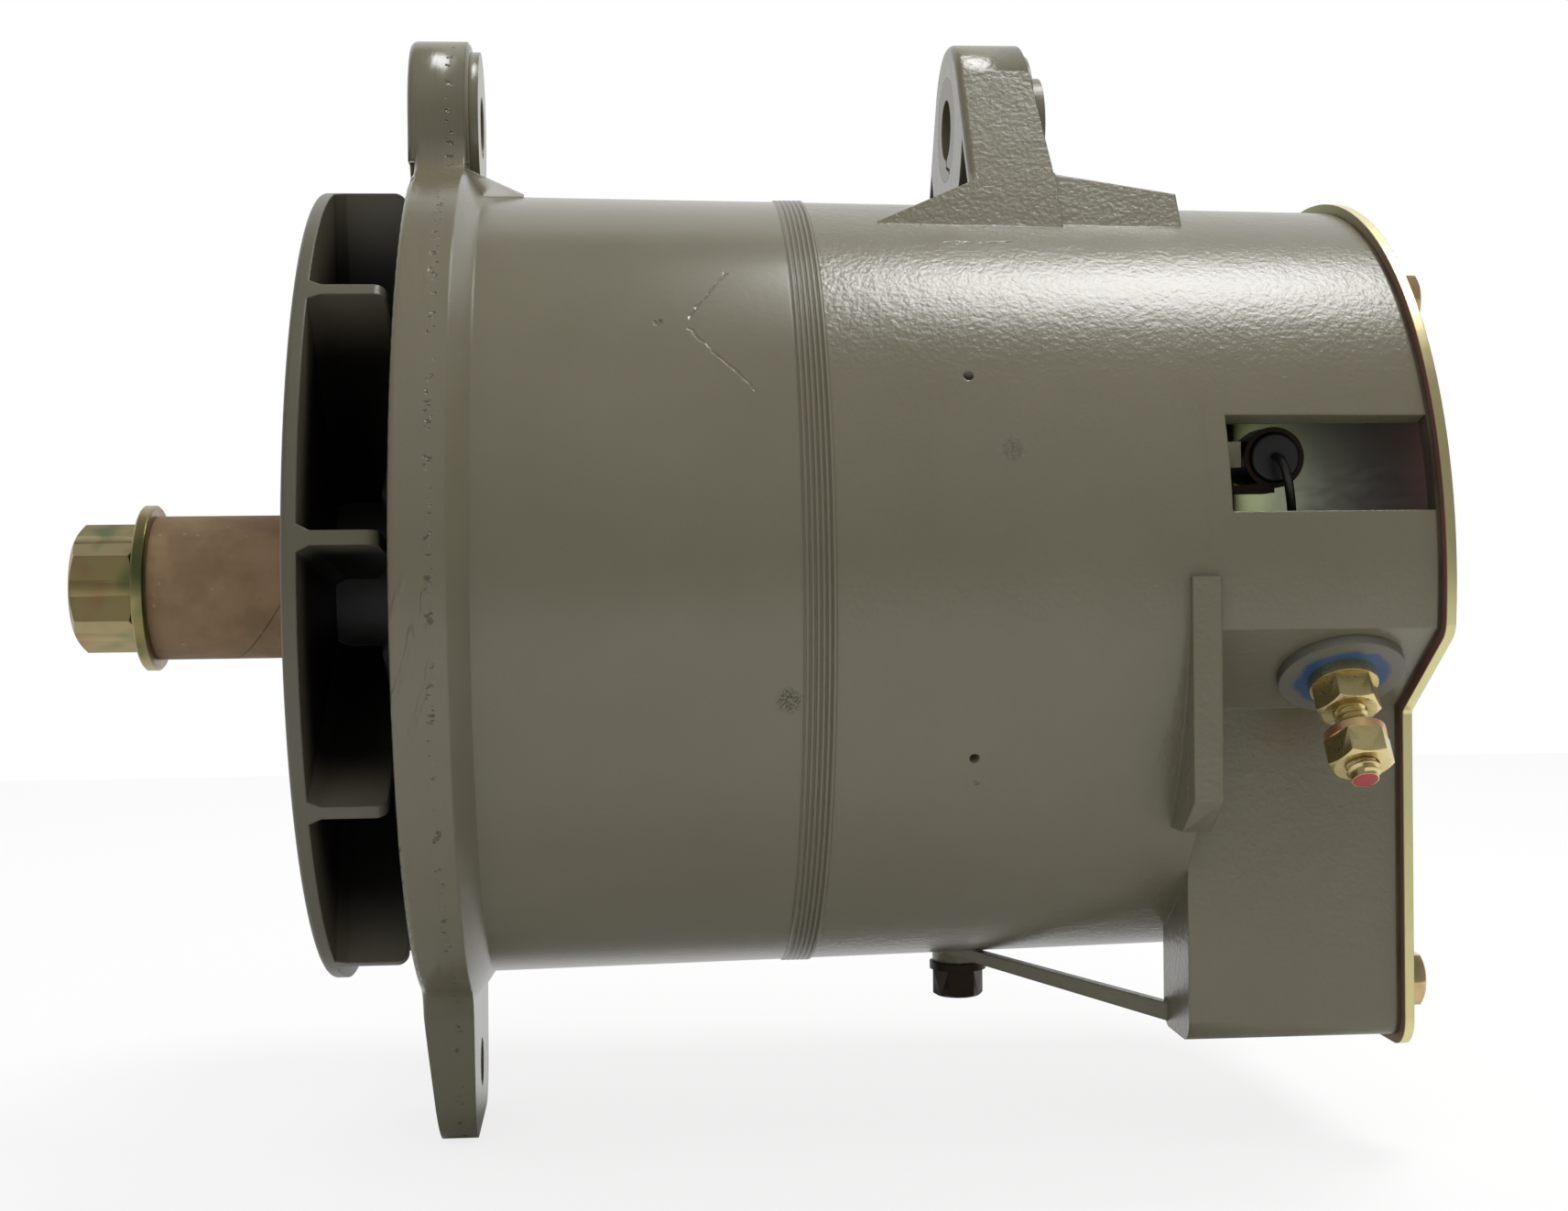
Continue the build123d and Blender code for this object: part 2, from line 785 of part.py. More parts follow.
ramp_start = rear_lug_front - saddle_ramp_front
ramp_end = rear_lug_back + rear_lug_draft + saddle_ramp_rear
lug_outline = saddle_outline()
narrow_outline = saddle_outline(saddle_step)
pocket_outline = saddle_outline(pocket_wall)
with BuildPart() as rear_lug:
    with BuildSketch(Plane.YZ.offset(rear_lug_front)):
        add(lug_outline)
    extrude(amount=rear_lug_thickness + rear_lug_draft)
    with BuildSketch(Plane.XZ.offset(-rear_lug_base)):
        with BuildLine():
            Polyline(
                (rear_lug_back, hinge_height + 2 * lug_radius),
                (rear_lug_back, hinge_height + lug_radius),
                (rear_lug_back + rear_lug_draft, hinge_height - lug_radius),
                (rear_lug_back + 2 * rear_lug_draft, hinge_height - lug_radius),
                (rear_lug_back + 2 * rear_lug_draft, hinge_height + 2 * lug_radius),
                close=True,
            )
        make_face()
    extrude(amount=2 * rear_lug_base, mode=Mode.SUBTRACT)
    fillet(rear_lug.edges().group_by(Axis.X)[0].group_by(Axis.Z)[-1], radius=lug_edge_round)
    with BuildSketch(Plane.YZ.offset(rear_lug_front)):
        add(pocket_outline)
        with Locations((0, hinge_height)):
            Circle(pocket_eye, mode=Mode.SUBTRACT)
        with Locations((0, body_radius)):
            Rectangle(2 * rear_lug_base, hinge_height, align=(Align.CENTER, Align.MAX), mode=Mode.SUBTRACT)
    extrude(amount=pocket_depth, mode=Mode.SUBTRACT)

with BuildPart() as saddle:
    with BuildSketch(Plane.YZ.offset(ramp_start)):
        add(lug_outline)
    extrude(amount=rear_lug_back + rear_lug_draft - ramp_start)
    with BuildSketch(Plane.YZ.offset(rear_lug_back)):
        add(narrow_outline)
    extrude(amount=ramp_end - rear_lug_back)
    with BuildSketch(Plane.XZ.offset(-rear_lug_base)):
        with BuildLine():
            Polyline(
                (ramp_start, 0),
                (ramp_start, saddle_low + saddle_edge),
                (rear_lug_front + saddle_step, saddle_top + saddle_step),
                (rear_lug_back, saddle_top + 2 * saddle_step),
                (rear_lug_back + rear_lug_draft, saddle_top + 2 * saddle_step),
                (ramp_end, casting_radius(ramp_end) - saddle_edge),
                (ramp_end, 0),
                close=True,
            )
        make_face()
    extrude(amount=2 * rear_lug_base, mode=Mode.INTERSECT)

# Brace from the drum's underside to the square corner
brace_foot = place(casting_radius(ground_station) - brace_thick_front / 2, -brace_front_angle)
brace_head = (-recess_wall + corner_width - brace_width / 2, -corner_depth + brace_thick_rear / 2)
with BuildPart() as brace:
    with BuildSketch(Plane.YZ.offset(ground_station - ground_boss_radius)):
        with Locations(brace_foot):
            Rectangle(brace_width, brace_thick_front)
    with BuildSketch(Plane.YZ.offset(guard_rear + corner_round)):
        with Locations(brace_head):
            Rectangle(brace_width, brace_thick_rear)
    loft()

# Places across the shaft
shelf_run = shelf_edge + recess_wall
shelf_fall = shelf_top - shelf_foot
stud_plane = Plane(
    origin=(rear_end - stud_from_rear, (shelf_edge - recess_wall) / 2, (shelf_top + shelf_foot) / 2),
    x_dir=(1, 0, 0),
    z_dir=(0, -shelf_fall, shelf_run),
)
corner_screw = (-recess_wall + corner_width / 2, -corner_depth + corner_width / 2)
cover_screws_at = [place(cover_screw_circle, near_side(angle)) for angle in cover_screw_angles]
cover_screws_at.append(corner_screw)
ground_seat = -casting_radius(ground_station) - ground_boss_drop
rear_profile = rear_outline()
chamber_profile = rear_outline(-rear_wall)
boss_front = rear_bearing_start - rear_boss_wall / 2
shoulder_end = stator_end + stator_shoulder
sink_posts_at = [place(sink_post_circle, angle) for angle in sink_post_angles]
sink_posts_at += [(-spot[0], -sink_post_high) for spot in sink_posts_at]
regulator_posts_at = [place(regulator_post_circle, angle) for angle in regulator_post_angles]


# Rear casting: drum, square corner, recess with its shelf, lug, partition and rear chamber
with BuildPart() as rear_casting:
    with BuildSketch(Plane.XZ):
        with BuildLine():
            Polyline(
                (parting, 0),
                (parting, body_radius),
                (rear_end, rear_radius),
                (rear_end, 0),
                close=True,
            )
        make_face()
    revolve(axis=Axis.X)
    add(saddle.part)
    add(rear_lug.part)
    add(brace.part)
    with Locations(facing_rear(rear_lug_back, [(0, hinge_height)])):
        Cylinder(lug_boss_radius, lug_boss_height, align=(Align.CENTER, Align.CENTER, Align.MIN))
    with BuildSketch(Plane.YZ.offset(guard_rear)) as corner_box:
        with Locations((-recess_wall, -corner_depth)):
            Rectangle(corner_width, corner_depth / 2, align=(Align.MIN, Align.MIN))
        fillet(corner_box.vertices().sort_by(Axis.Y)[0:2], radius=corner_round)
    extrude(amount=corner_front_back)
    with BuildSketch(Plane.YZ.offset(guard_rear)):
        with BuildLine():
            Polyline(
                (2 * shelf_edge, shelf_top),
                (shelf_edge, shelf_top),
                (-recess_wall, shelf_foot),
                (-recess_wall, 2 * shelf_edge),
                (2 * shelf_edge, 2 * shelf_edge),
                close=True,
            )
        make_face()
    extrude(amount=corner_front_back, mode=Mode.SUBTRACT)
    with BuildSketch(Plane.YZ.offset(guard_front)):
        with BuildLine():
            Polyline(
                (-guard_face, 0),
                (-guard_face, -guard_length),
                (-guard_face + guard_bevel_run, -guard_length - guard_bevel),
                (-recess_wall, -guard_length - guard_bevel),
                (-recess_wall, 0),
                close=True,
            )
        make_face()
    extrude(amount=guard_thickness)
    with BuildSketch(Plane.XY.offset(ground_seat)):
        with Locations((ground_station, 0)):
            Circle(ground_boss_radius)
    extrude(amount=casting_radius(ground_station) / 2)

    # Inside: stator seat, drum cavity, partition, rear chamber
    round_wall(parting, stator_end, stator_radius + seat_gap, mode=Mode.SUBTRACT)
    round_wall(stator_end, shoulder_end, stator_radius - stator_shoulder, mode=Mode.SUBTRACT)
    round_wall(shoulder_end, partition_front, rear_radius - rear_wall, mode=Mode.SUBTRACT)
    with BuildSketch(Plane.YZ.offset(partition_rear)):
        add(chamber_profile)
        Circle(rear_radius - rear_wall, mode=Mode.INTERSECT)
    extrude(amount=rear_chamber_depth, mode=Mode.SUBTRACT)
    with BuildSketch(Plane.YZ.offset(partition_rear + rear_wall)):
        add(chamber_profile)
    extrude(amount=rear_chamber_depth - rear_wall, mode=Mode.SUBTRACT)
    with Locations(facing_rear(rear_end, cover_screws_at)):
        Cylinder(cover_boss_radius, rear_chamber_depth, align=(Align.CENTER, Align.CENTER, Align.MAX))
    with Locations(facing_rear(shoulder_end, bolts_at)):
        Cylinder(bolt_boss_radius, bolt_thread_depth, align=(Align.CENTER, Align.CENTER, Align.MIN))
    with Locations(facing_rear(partition_rear, sink_posts_at + regulator_posts_at)):
        Cylinder(post_radius, post_height, align=(Align.CENTER, Align.CENTER, Align.MIN))
    with Locations(stud_plane):
        Cylinder(stud_boss_radius, stud_boss_depth, align=(Align.CENTER, Align.CENTER, Align.MAX))
    with BuildSketch(Plane.YZ.offset(partition_front)):
        with Locations((-rear_radius + rear_wall / 2, pedestal_top)):
            Rectangle(pedestal_reach, pedestal_depth, align=(Align.MIN, Align.MAX))
    extrude(amount=partition_wall + pedestal_length)
    air_windows(partition_front, partition_wall, window_ring, rear_radius - 2 * rear_wall,
                closed=(recess_window,))
    round_wall(boss_front, partition_rear, rear_boss_radius)
    round_wall(boss_front, rear_bearing_end, rear_bearing_radius + seat_gap, mode=Mode.SUBTRACT)

    # Openings and holes
    with BuildSketch(Plane.YZ.offset(window_front)):
        with BuildLine():
            Polyline(
                (-rear_radius - rear_wall, side_window_low),
                (-rear_radius - rear_wall, side_window_high + side_window_flare),
                (-rear_radius + 2 * rear_wall, side_window_high),
                (-recess_wall, side_window_high),
                (-recess_wall, side_window_low),
                close=True,
            )
        make_face()
    extrude(amount=side_window_length, mode=Mode.SUBTRACT)
    with BuildSketch(Plane.YZ.offset(window_front)):
        with Locations((-rear_radius + rear_wall, capacitor_height)):
            Rectangle(rear_wall / 2, tab_height)
    extrude(amount=tab_length)
    with Locations(facing_rear(rear_lug_back + rear_lug_draft, [(0, hinge_height)])):
        Hole(radius=bushing_radius + running_gap, depth=rear_lug_thickness + rear_lug_draft)
    with Locations(stud_plane):
        Hole(radius=insulator_neck_radius + hole_gap, depth=stud_boss_depth)
    with Locations(facing_rear(rear_end, cover_screws_at)):
        Hole(radius=cover_screw_radius + seat_gap, depth=cover_screw_length)
    with Locations(facing_rear(shoulder_end + bolt_thread_depth, bolts_at)):
        Hole(radius=bolt_radius + seat_gap, depth=shoulder_end + bolt_thread_depth - parting)
    with Locations(facing_rear(partition_rear + post_height, sink_posts_at + regulator_posts_at)):
        Hole(radius=post_screw_radius + seat_gap, depth=post_height)
    with Locations(facing_front(partition_front, support_screws_at)):
        Hole(radius=support_screw_radius + seat_gap, depth=support_screw_length - support_flange_thickness)
    with Locations(Plane(origin=(ground_station, 0, ground_seat), z_dir=(0, 0, -1))):
        Hole(radius=ground_screw_radius + seat_gap, depth=ground_screw_length)
    for rivet_angle in (rivet_upper_angle, -rivet_lower_angle):
        rivet_station = parting + rivet_from_parting
        rivet_spot = place(casting_radius(rivet_station), near_side(rivet_angle))
        with Locations(Plane(origin=(rivet_station, *rivet_spot), z_dir=(0, *rivet_spot))):
            Hole(radius=rivet_hole_radius, depth=rivet_hole_depth)

# The rear casting goes out as five nodes: eye, brace, drum, chamber wall and partition
rear_eye_seam = saddle_top + 2 * saddle_step + saddle_edge / 2
rear_drum_seam = partition_front - wall_seam
chamber_seam = partition_rear + post_height + wall_seam
with BuildPart() as rear_end_lug:
    add(rear_casting.part)
    above(rear_eye_seam, Mode.INTERSECT)
rear_end_lug.part.label = "rear_end_lug"
export_step(rear_end_lug.part, "parts/rear_end_lug.step")

with BuildPart() as rear_end_brace:
    add(rear_casting.part)
    round_wall(ground_station + ground_boss_radius + wall_seam, guard_rear - brace_seam, seam_reach, body_radius,
               mode=Mode.INTERSECT)
    below(-corner_depth + 2 * brace_thick_front, Mode.INTERSECT)
rear_end_brace.part.label = "rear_end_brace"
export_step(rear_end_brace.part, "parts/rear_end_brace.step")

with BuildPart() as rear_end_drum:
    add(rear_casting.part)
    round_wall(parting, rear_drum_seam, seam_reach, seam_ring, mode=Mode.INTERSECT)
    above(rear_eye_seam, Mode.SUBTRACT)
    add(rear_end_brace.part, mode=Mode.SUBTRACT)
rear_end_drum.part.label = "rear_end_drum"
export_step(rear_end_drum.part, "parts/rear_end_drum.step")

with BuildPart() as rear_end_chamber:
    add(rear_casting.part)
    round_wall(chamber_seam, rear_end, seam_reach, mode=Mode.INTERSECT)
rear_end_chamber.part.label = "rear_end_chamber"
export_step(rear_end_chamber.part, "parts/rear_end_chamber.step")

with BuildPart() as rear_end_frame:
    add(rear_casting.part)
    round_wall(chamber_seam, rear_end, seam_reach, mode=Mode.SUBTRACT)
    round_wall(parting, rear_drum_seam, seam_reach, seam_ring, mode=Mode.SUBTRACT)
    above(rear_eye_seam, Mode.SUBTRACT)
    add(rear_end_brace.part, mode=Mode.SUBTRACT)
rear_end_frame.part.label = "rear_end_frame"
export_step(rear_end_frame.part, "parts/rear_end_frame.step")

# Split bushing that slides in the rear lug
with BuildPart() as hinge_bushing:
    with BuildSketch(Plane.YZ.offset(rear_lug_front)):
        with Locations((0, hinge_height)):
            Circle(bushing_radius)
            Circle(bushing_bore, mode=Mode.SUBTRACT)
        with BuildLine():
            Polyline(
                (-slit_outer_shift, hinge_height - bushing_radius - bushing_slit),
                (-slit_outer_shift, hinge_height - slit_step_radius),
                (0, hinge_height - slit_step_radius + slit_step_rise),
                (0, hinge_height - slit_step_radius + 2 * slit_step_rise),
                (-slit_inner_shift, hinge_height - bushing_bore / 2),
            )
        trace(line_width=bushing_slit, mode=Mode.SUBTRACT)
    extrude(amount=bushing_length)
hinge_bushing.part.label = "hinge_bushing"
export_step(hinge_bushing.part, "parts/hinge_bushing.step")


def race(start, width, inner, outer):
    """Add a plain bearing ring."""
    round_wall(start, start + width, outer - seat_gap, inner + seat_gap)


def race_groove(station, orbit, radius):
    """Cut the ball groove of a bearing ring."""
    with BuildSketch(Plane.XZ) as groove:
        with Locations((station, orbit)):
            Circle(radius)
    revolve(groove.sketch, axis=Axis.X, mode=Mode.SUBTRACT)


def on_orbit(station, orbit, count):
    """Planes at the centres of the balls or rollers of a bearing, all along the shaft."""
    return facing_rear(station, bolt_places(orbit, count, 0.0))


# Front ball bearing
front_orbit = (front_bore + front_bearing_radius) / 2
front_shoulder = front_ball_radius / 2
with BuildPart() as front_inner_race:
    race(front_bearing_start, front_bearing_width, front_bore, front_orbit - front_shoulder)
    race_groove(front_bearing_mid, front_orbit, front_ball_radius + race_gap)
front_inner_race.part.label = "front_inner_race"
export_step(front_inner_race.part, "parts/front_inner_race.step")

with BuildPart() as front_outer_race:
    race(front_bearing_start, front_bearing_width, front_orbit + front_shoulder, front_bearing_radius)
    race_groove(front_bearing_mid, front_orbit, front_ball_radius + race_gap)
front_outer_race.part.label = "front_outer_race"
export_step(front_outer_race.part, "parts/front_outer_race.step")

with BuildPart() as front_balls:
    with Locations(on_orbit(front_bearing_mid, front_orbit, front_ball_count)):
        Sphere(front_ball_radius)
front_balls.part.label = "front_balls"
export_step(front_balls.part, "parts/front_balls.step")

with BuildPart() as front_cage:
    round_wall(front_bearing_mid - front_ball_radius - cage_rim, front_bearing_mid + front_ball_radius
               + cage_rim, front_orbit + cage_half, front_orbit - cage_half)
    with Locations([Plane(origin=(front_bearing_mid, *spot), z_dir=(0, *spot))
                    for spot in bolt_places(front_orbit, front_ball_count, 0.0)]):
        Cylinder(front_ball_radius + running_gap, 4 * cage_half, mode=Mode.SUBTRACT)
front_cage.part.label = "front_cage"
export_step(front_cage.part, "parts/front_cage.step")

# Rear roller bearing
rear_orbit = (rear_bore + rear_bearing_radius) / 2
with BuildPart() as rear_inner_race:
    race(rear_bearing_start, rear_bearing_width - race_gap, rear_bore,
         rear_orbit - rear_roller_radius - race_gap)
rear_inner_race.part.label = "rear_inner_race"
export_step(rear_inner_race.part, "parts/rear_inner_race.step")

with BuildPart() as rear_outer_race:
    race(rear_bearing_start, rear_bearing_width, rear_orbit + rear_roller_radius + race_gap,
         rear_bearing_radius)
rear_outer_race.part.label = "rear_outer_race"
export_step(rear_outer_race.part, "parts/rear_outer_race.step")

with BuildPart() as rear_rollers:
    with Locations(on_orbit(rear_bearing_mid, rear_orbit, rear_roller_count)):
        Cylinder(rear_roller_radius, rear_roller_length)
rear_rollers.part.label = "rear_rollers"
export_step(rear_rollers.part, "parts/rear_rollers.step")

with BuildPart() as rear_cage:
    round_wall(rear_bearing_mid - rear_roller_length / 2 - cage_rim, rear_bearing_mid
               + rear_roller_length / 2 + cage_rim, rear_orbit + cage_half, rear_orbit - cage_half)
    with Locations(on_orbit(rear_bearing_mid, rear_orbit, rear_roller_count)):
        Cylinder(rear_roller_radius + running_gap, rear_roller_length + 2 * running_gap,
                 mode=Mode.SUBTRACT)
rear_cage.part.label = "rear_cage"
export_step(rear_cage.part, "parts/rear_cage.step")

# Plate that holds the front bearing, with its screws
with BuildPart() as bearing_retainer:
    round_wall(front_bearing_end, front_bearing_end + retainer_thickness, front_boss_radius,
               front_bearing_radius - front_bearing_lip)
    with Locations(facing_rear(front_bearing_end + retainer_thickness, retainer_screws_at)):
        Hole(radius=retainer_screw_radius + seat_gap, depth=retainer_thickness)
bearing_retainer.part.label = "bearing_retainer"
export_step(bearing_retainer.part, "parts/bearing_retainer.step")


def round_screws(planes, radius, length, head_radius, head_height, socket):
    """Add cap screws with a hexagon socket, heads standing on the planes."""
    with Locations(planes):
        Cylinder(head_radius, head_height, align=(Align.CENTER, Align.CENTER, Align.MIN))
        Cylinder(radius, length, align=(Align.CENTER, Align.CENTER, Align.MAX))
    for plane in planes:
        with BuildSketch(plane.offset(head_height)) as socket_sketch:
            RegularPolygon(radius=socket / 2, side_count=6, major_radius=False)
        extrude(socket_sketch.sketch, amount=-head_height / 2, mode=Mode.SUBTRACT)


with BuildPart() as retainer_screws:
    round_screws(facing_rear(front_bearing_end + retainer_thickness, retainer_screws_at),
                 retainer_screw_radius, retainer_screw_length, retainer_head_radius,
                 retainer_head_height, retainer_head_radius)
retainer_screws.part.label = "retainer_screws"
export_step(retainer_screws.part, "parts/retainer_screws.step")


def pole_finger(root_station, tip_station):
    """Return one tapering pole finger, drawn on top of the rotor from its disc to its tip."""
    with BuildPart() as finger:
        with BuildSketch(Plane.XY.offset(rotor_radius - 2 * pole_thickness)):
            with BuildLine():
                Polyline(
                    (root_station, -pole_root_width / 2),
                    (tip_station, -pole_tip_width / 2),
                    (tip_station, pole_tip_width / 2),
                    (root_station, pole_root_width / 2),
                    close=True,
                )
            make_face()
        extrude(amount=2 * pole_thickness)
    return finger.part


def add_fingers(finger, first):
    """Add a pole finger at every pole pitch, from the first one's angle on."""
    for number in range(pole_count):
        add(finger.rotate(Axis.X, first + 360 / pole_count * number))


# Rotor: front pole piece with its hub, rear pole piece, and the ring that ties them together
front_finger = pole_finger(rotor_start, pole_rear - pole_tip_gap)
rear_finger = pole_finger(rotor_end, pole_front + pole_tip_gap)
with BuildPart() as rotor_front_pole:
    add_fingers(front_finger, 0.0)
    round_wall(pole_front, rotor_end, finger_floor, mode=Mode.SUBTRACT)
    round_wall(rotor_start, rotor_end, rotor_radius, mode=Mode.INTERSECT)
    round_wall(rotor_start, pole_front, rotor_radius)
    round_wall(pole_front, pole_rear, rotor_hub_radius)
    round_wall(rotor_start, pole_rear, rotor_shaft_radius + seat_gap, mode=Mode.SUBTRACT)
    chamfer(rotor_front_pole.edges().filter_by(GeomType.CIRCLE).group_by(Axis.X)[0]
            .sort_by(SortBy.RADIUS)[-1:], length=pole_edge)
rotor_front_pole.part.label = "rotor_front_pole"
export_step(rotor_front_pole.part, "parts/rotor_front_pole.step")

with BuildPart() as rotor_rear_pole:
    add_fingers(rear_finger, 180 / pole_count)
    round_wall(rotor_start, pole_rear, finger_floor, mode=Mode.SUBTRACT)
    round_wall(rotor_start, rotor_end, rotor_radius, mode=Mode.INTERSECT)
    round_wall(pole_rear, rotor_end, rotor_radius)
    round_wall(pole_rear, rotor_end, rear_pole_bore, mode=Mode.SUBTRACT)
    chamfer(rotor_rear_pole.edges().filter_by(GeomType.CIRCLE).group_by(Axis.X)[-1]
            .sort_by(SortBy.RADIUS)[-1:], length=pole_edge)
rotor_rear_pole.part.label = "rotor_rear_pole"
export_step(rotor_rear_pole.part, "parts/rotor_rear_pole.step")

with BuildPart() as pole_ring:
    round_wall(rotor_middle - pole_ring_width / 2, rotor_middle + pole_ring_width / 2,
               finger_floor - seat_gap, finger_floor - pole_ring_thickness)
pole_ring.part.label = "pole_ring"
export_step(pole_ring.part, "parts/pole_ring.step")

# Stationary field coil on the tube that carries it from the rear casting
coil_start = pole_front + 2 * support_clear
with BuildPart() as field_coil:
    round_wall(coil_start, coil_start + coil_length, coil_radius, support_outer + seat_gap)
    fillet(field_coil.edges().filter_by(GeomType.CIRCLE).sort_by(SortBy.RADIUS)[-2:],
           radius=coil_edge_round)
field_coil.part.label = "field_coil"
export_step(field_coil.part, "parts/field_coil.step")

with BuildPart() as field_coil_support:
    round_wall(pole_front + support_clear, support_neck, support_outer)
    round_wall(support_neck, partition_front, support_sleeve_radius)
    round_wall(partition_front - support_flange_thickness, partition_front, support_flange)
    round_wall(pole_front, partition_front, support_inner, mode=Mode.SUBTRACT)
    round_wall(boss_front - support_clear, partition_front, rear_boss_radius + seat_gap,
               mode=Mode.SUBTRACT)
    with Locations(facing_front(partition_front - support_flange_thickness, support_screws_at)):
        Hole(radius=support_screw_radius + seat_gap, depth=support_flange_thickness)
field_coil_support.part.label = "field_coil_support"
export_step(field_coil_support.part, "parts/field_coil_support.step")

with BuildPart() as support_screws:
    round_screws(facing_front(partition_front - support_flange_thickness, support_screws_at),
                 support_screw_radius, support_screw_length, support_head_radius,
                 support_head_height, support_head_radius)
support_screws.part.label = "support_screws"
export_step(support_screws.part, "parts/support_screws.step")

# Stator: slotted core and its winding
slot_step = 360 / slot_count
with BuildPart() as stator_core:
    with BuildSketch(Plane.YZ.offset(stator_start)):
        Circle(stator_radius)
        Circle(stator_bore, mode=Mode.SUBTRACT)
        for number in range(slot_count):
            with Locations(Rotation(0, 0, slot_step * number)):
                with Locations((stator_bore - slot_width, 0)):
                    Rectangle(slot_width + slot_depth, slot_width, align=(Align.MIN, Align.CENTER),
                              mode=Mode.SUBTRACT)
        for spot in bolts_at:
            with Locations(spot):
                Circle(bolt_radius + hole_gap, mode=Mode.SUBTRACT)
    extrude(amount=stator_length)
stator_core.part.label = "stator_core"
export_step(stator_core.part, "parts/stator_core.step")

slot_top = stator_bore + slot_depth
bar_inner = stator_bore + slot_width / 2
with BuildPart() as stator_winding:
    with BuildSketch(Plane.YZ.offset(stator_start - winding_clearance)):
        for number in range(slot_count):
            with Locations(Rotation(0, 0, slot_step * number)):
                with Locations((bar_inner, 0)):
                    Rectangle(slot_top - bar_inner - winding_clearance,
                              slot_width - 2 * winding_clearance, align=(Align.MIN, Align.CENTER))
    extrude(amount=stator_length + 2 * winding_clearance)
    for end_turn in (stator_start - winding_clearance - end_turn_length, stator_end + winding_clearance):
        round_wall(end_turn, end_turn + end_turn_length, slot_top - end_turn_inset, bar_inner)
    fillet(stator_winding.edges().filter_by(GeomType.CIRCLE).group_by(Axis.X)[0], radius=coil_edge_round)
    fillet(stator_winding.edges().filter_by(GeomType.CIRCLE).group_by(Axis.X)[-1], radius=coil_edge_round)
stator_winding.part.label = "stator_winding"
export_step(stator_winding.part, "parts/stator_winding.step")

# Through bolts, heads sunk in the drive-end flange
with BuildPart() as through_bolts:
    round_screws(facing_front(flange_front + bolt_head_height, bolts_at), bolt_radius,
                 shoulder_end + bolt_thread_depth - flange_front - 2 * bolt_head_height,
                 bolt_head_radius, bolt_head_height - seat_gap, bolt_head_radius)
through_bolts.part.label = "through_bolts"
export_step(through_bolts.part, "parts/through_bolts.step")

# Gasket and cover plate, with their flange screws
cover_profile = rear_outline(cover_overhang)
gasket_profile = rear_outline(-gasket_width)
with BuildPart() as cover_gasket:
    with BuildSketch(Plane.YZ.offset(rear_end)):
        add(rear_profile)
        add(gasket_profile, mode=Mode.SUBTRACT)
        for spot in cover_screws_at:
            with Locations(spot):
                Circle(cover_boss_radius)
        for spot in cover_screws_at:
            with Locations(spot):
                Circle(cover_screw_radius + hole_gap, mode=Mode.SUBTRACT)
    extrude(amount=gasket_thickness)
cover_gasket.part.label = "cover_gasket"
export_step(cover_gasket.part, "parts/cover_gasket.step")

with BuildPart() as cover_plate:
    with BuildSketch(Plane.YZ.offset(cover_front)):
        add(cover_profile)
        for spot in cover_screws_at:
            with Locations(spot):
                Circle(cover_screw_radius + hole_gap, mode=Mode.SUBTRACT)
    extrude(amount=cover_thickness)
cover_plate.part.label = "cover_plate"
export_step(cover_plate.part, "parts/cover_plate.step")

screw_heads = [hexagon(plane.offset(cover_flange_height), cover_screw_flat,
                       cover_screw_head - cover_flange_height)
               for plane in facing_rear(cover_back, cover_screws_at)]
with BuildPart() as cover_screws:
    for head in screw_heads:
        add(head)
    with Locations(facing_rear(cover_back, cover_screws_at)):
        Cylinder(cover_screw_flange, cover_flange_height, align=(Align.CENTER, Align.CENTER, Align.MIN))
        Cylinder(cover_screw_radius, cover_screw_length, align=(Align.CENTER, Align.CENTER, Align.MAX))
cover_screws.part.label = "cover_screws"
export_step(cover_screws.part, "parts/cover_screws.step")

# Output stud: insulator, stud, washer, two nuts and a split washer between them
below_head = -stud_boss_depth - insulator_thickness
with BuildPart() as stud_insulator:
    with Locations(stud_plane):
        Cylinder(insulator_radius, insulator_thickness, align=(Align.CENTER, Align.CENTER, Align.MIN))
        Cylinder(insulator_neck_radius, stud_boss_depth, align=(Align.CENTER, Align.CENTER, Align.MAX))
    with Locations(stud_plane.offset(insulator_thickness)):
        Hole(radius=stud_radius + running_gap, depth=stud_boss_depth + insulator_thickness)
stud_insulator.part.label = "stud_insulator"
export_step(stud_insulator.part, "parts/stud_insulator.step")

with BuildPart() as inner_insulator:
    with Locations(stud_plane.offset(-stud_boss_depth)):
        Cylinder(stud_boss_radius, insulator_thickness, align=(Align.CENTER, Align.CENTER, Align.MAX))
        Hole(radius=stud_radius + running_gap, depth=insulator_thickness)
inner_insulator.part.label = "inner_insulator"
export_step(inner_insulator.part, "parts/inner_insulator.step")

lower_nut = insulator_thickness + stud_washer_thickness
split_washer = lower_nut + stud_nut_height + stud_nut_space
upper_nut = split_washer + lock_washer_thickness
stud_head = hexagon(-stud_plane.offset(below_head - tag_thickness), stud_nut_flats, stud_head_height)
with BuildPart() as output_stud:
    add(stud_head)
    with Locations(stud_plane.offset(below_head - tag_thickness)):
        Cylinder(stud_radius, stud_projection - below_head + tag_thickness,
                 align=(Align.CENTER, Align.CENTER, Align.MIN))
    chamfer(output_stud.edges().filter_by(GeomType.CIRCLE).sort_by(Axis.Z)[0], length=stud_tip)
output_stud.part.label = "output_stud"
export_step(output_stud.part, "parts/output_stud.step")

with BuildPart() as stud_washer:
    with Locations(stud_plane.offset(lower_nut)):
        Cylinder(stud_washer_radius, stud_washer_thickness, align=(Align.CENTER, Align.CENTER, Align.MAX))
        Hole(radius=stud_radius + running_gap, depth=stud_washer_thickness)
stud_washer.part.label = "stud_washer"
export_step(stud_washer.part, "parts/stud_washer.step")

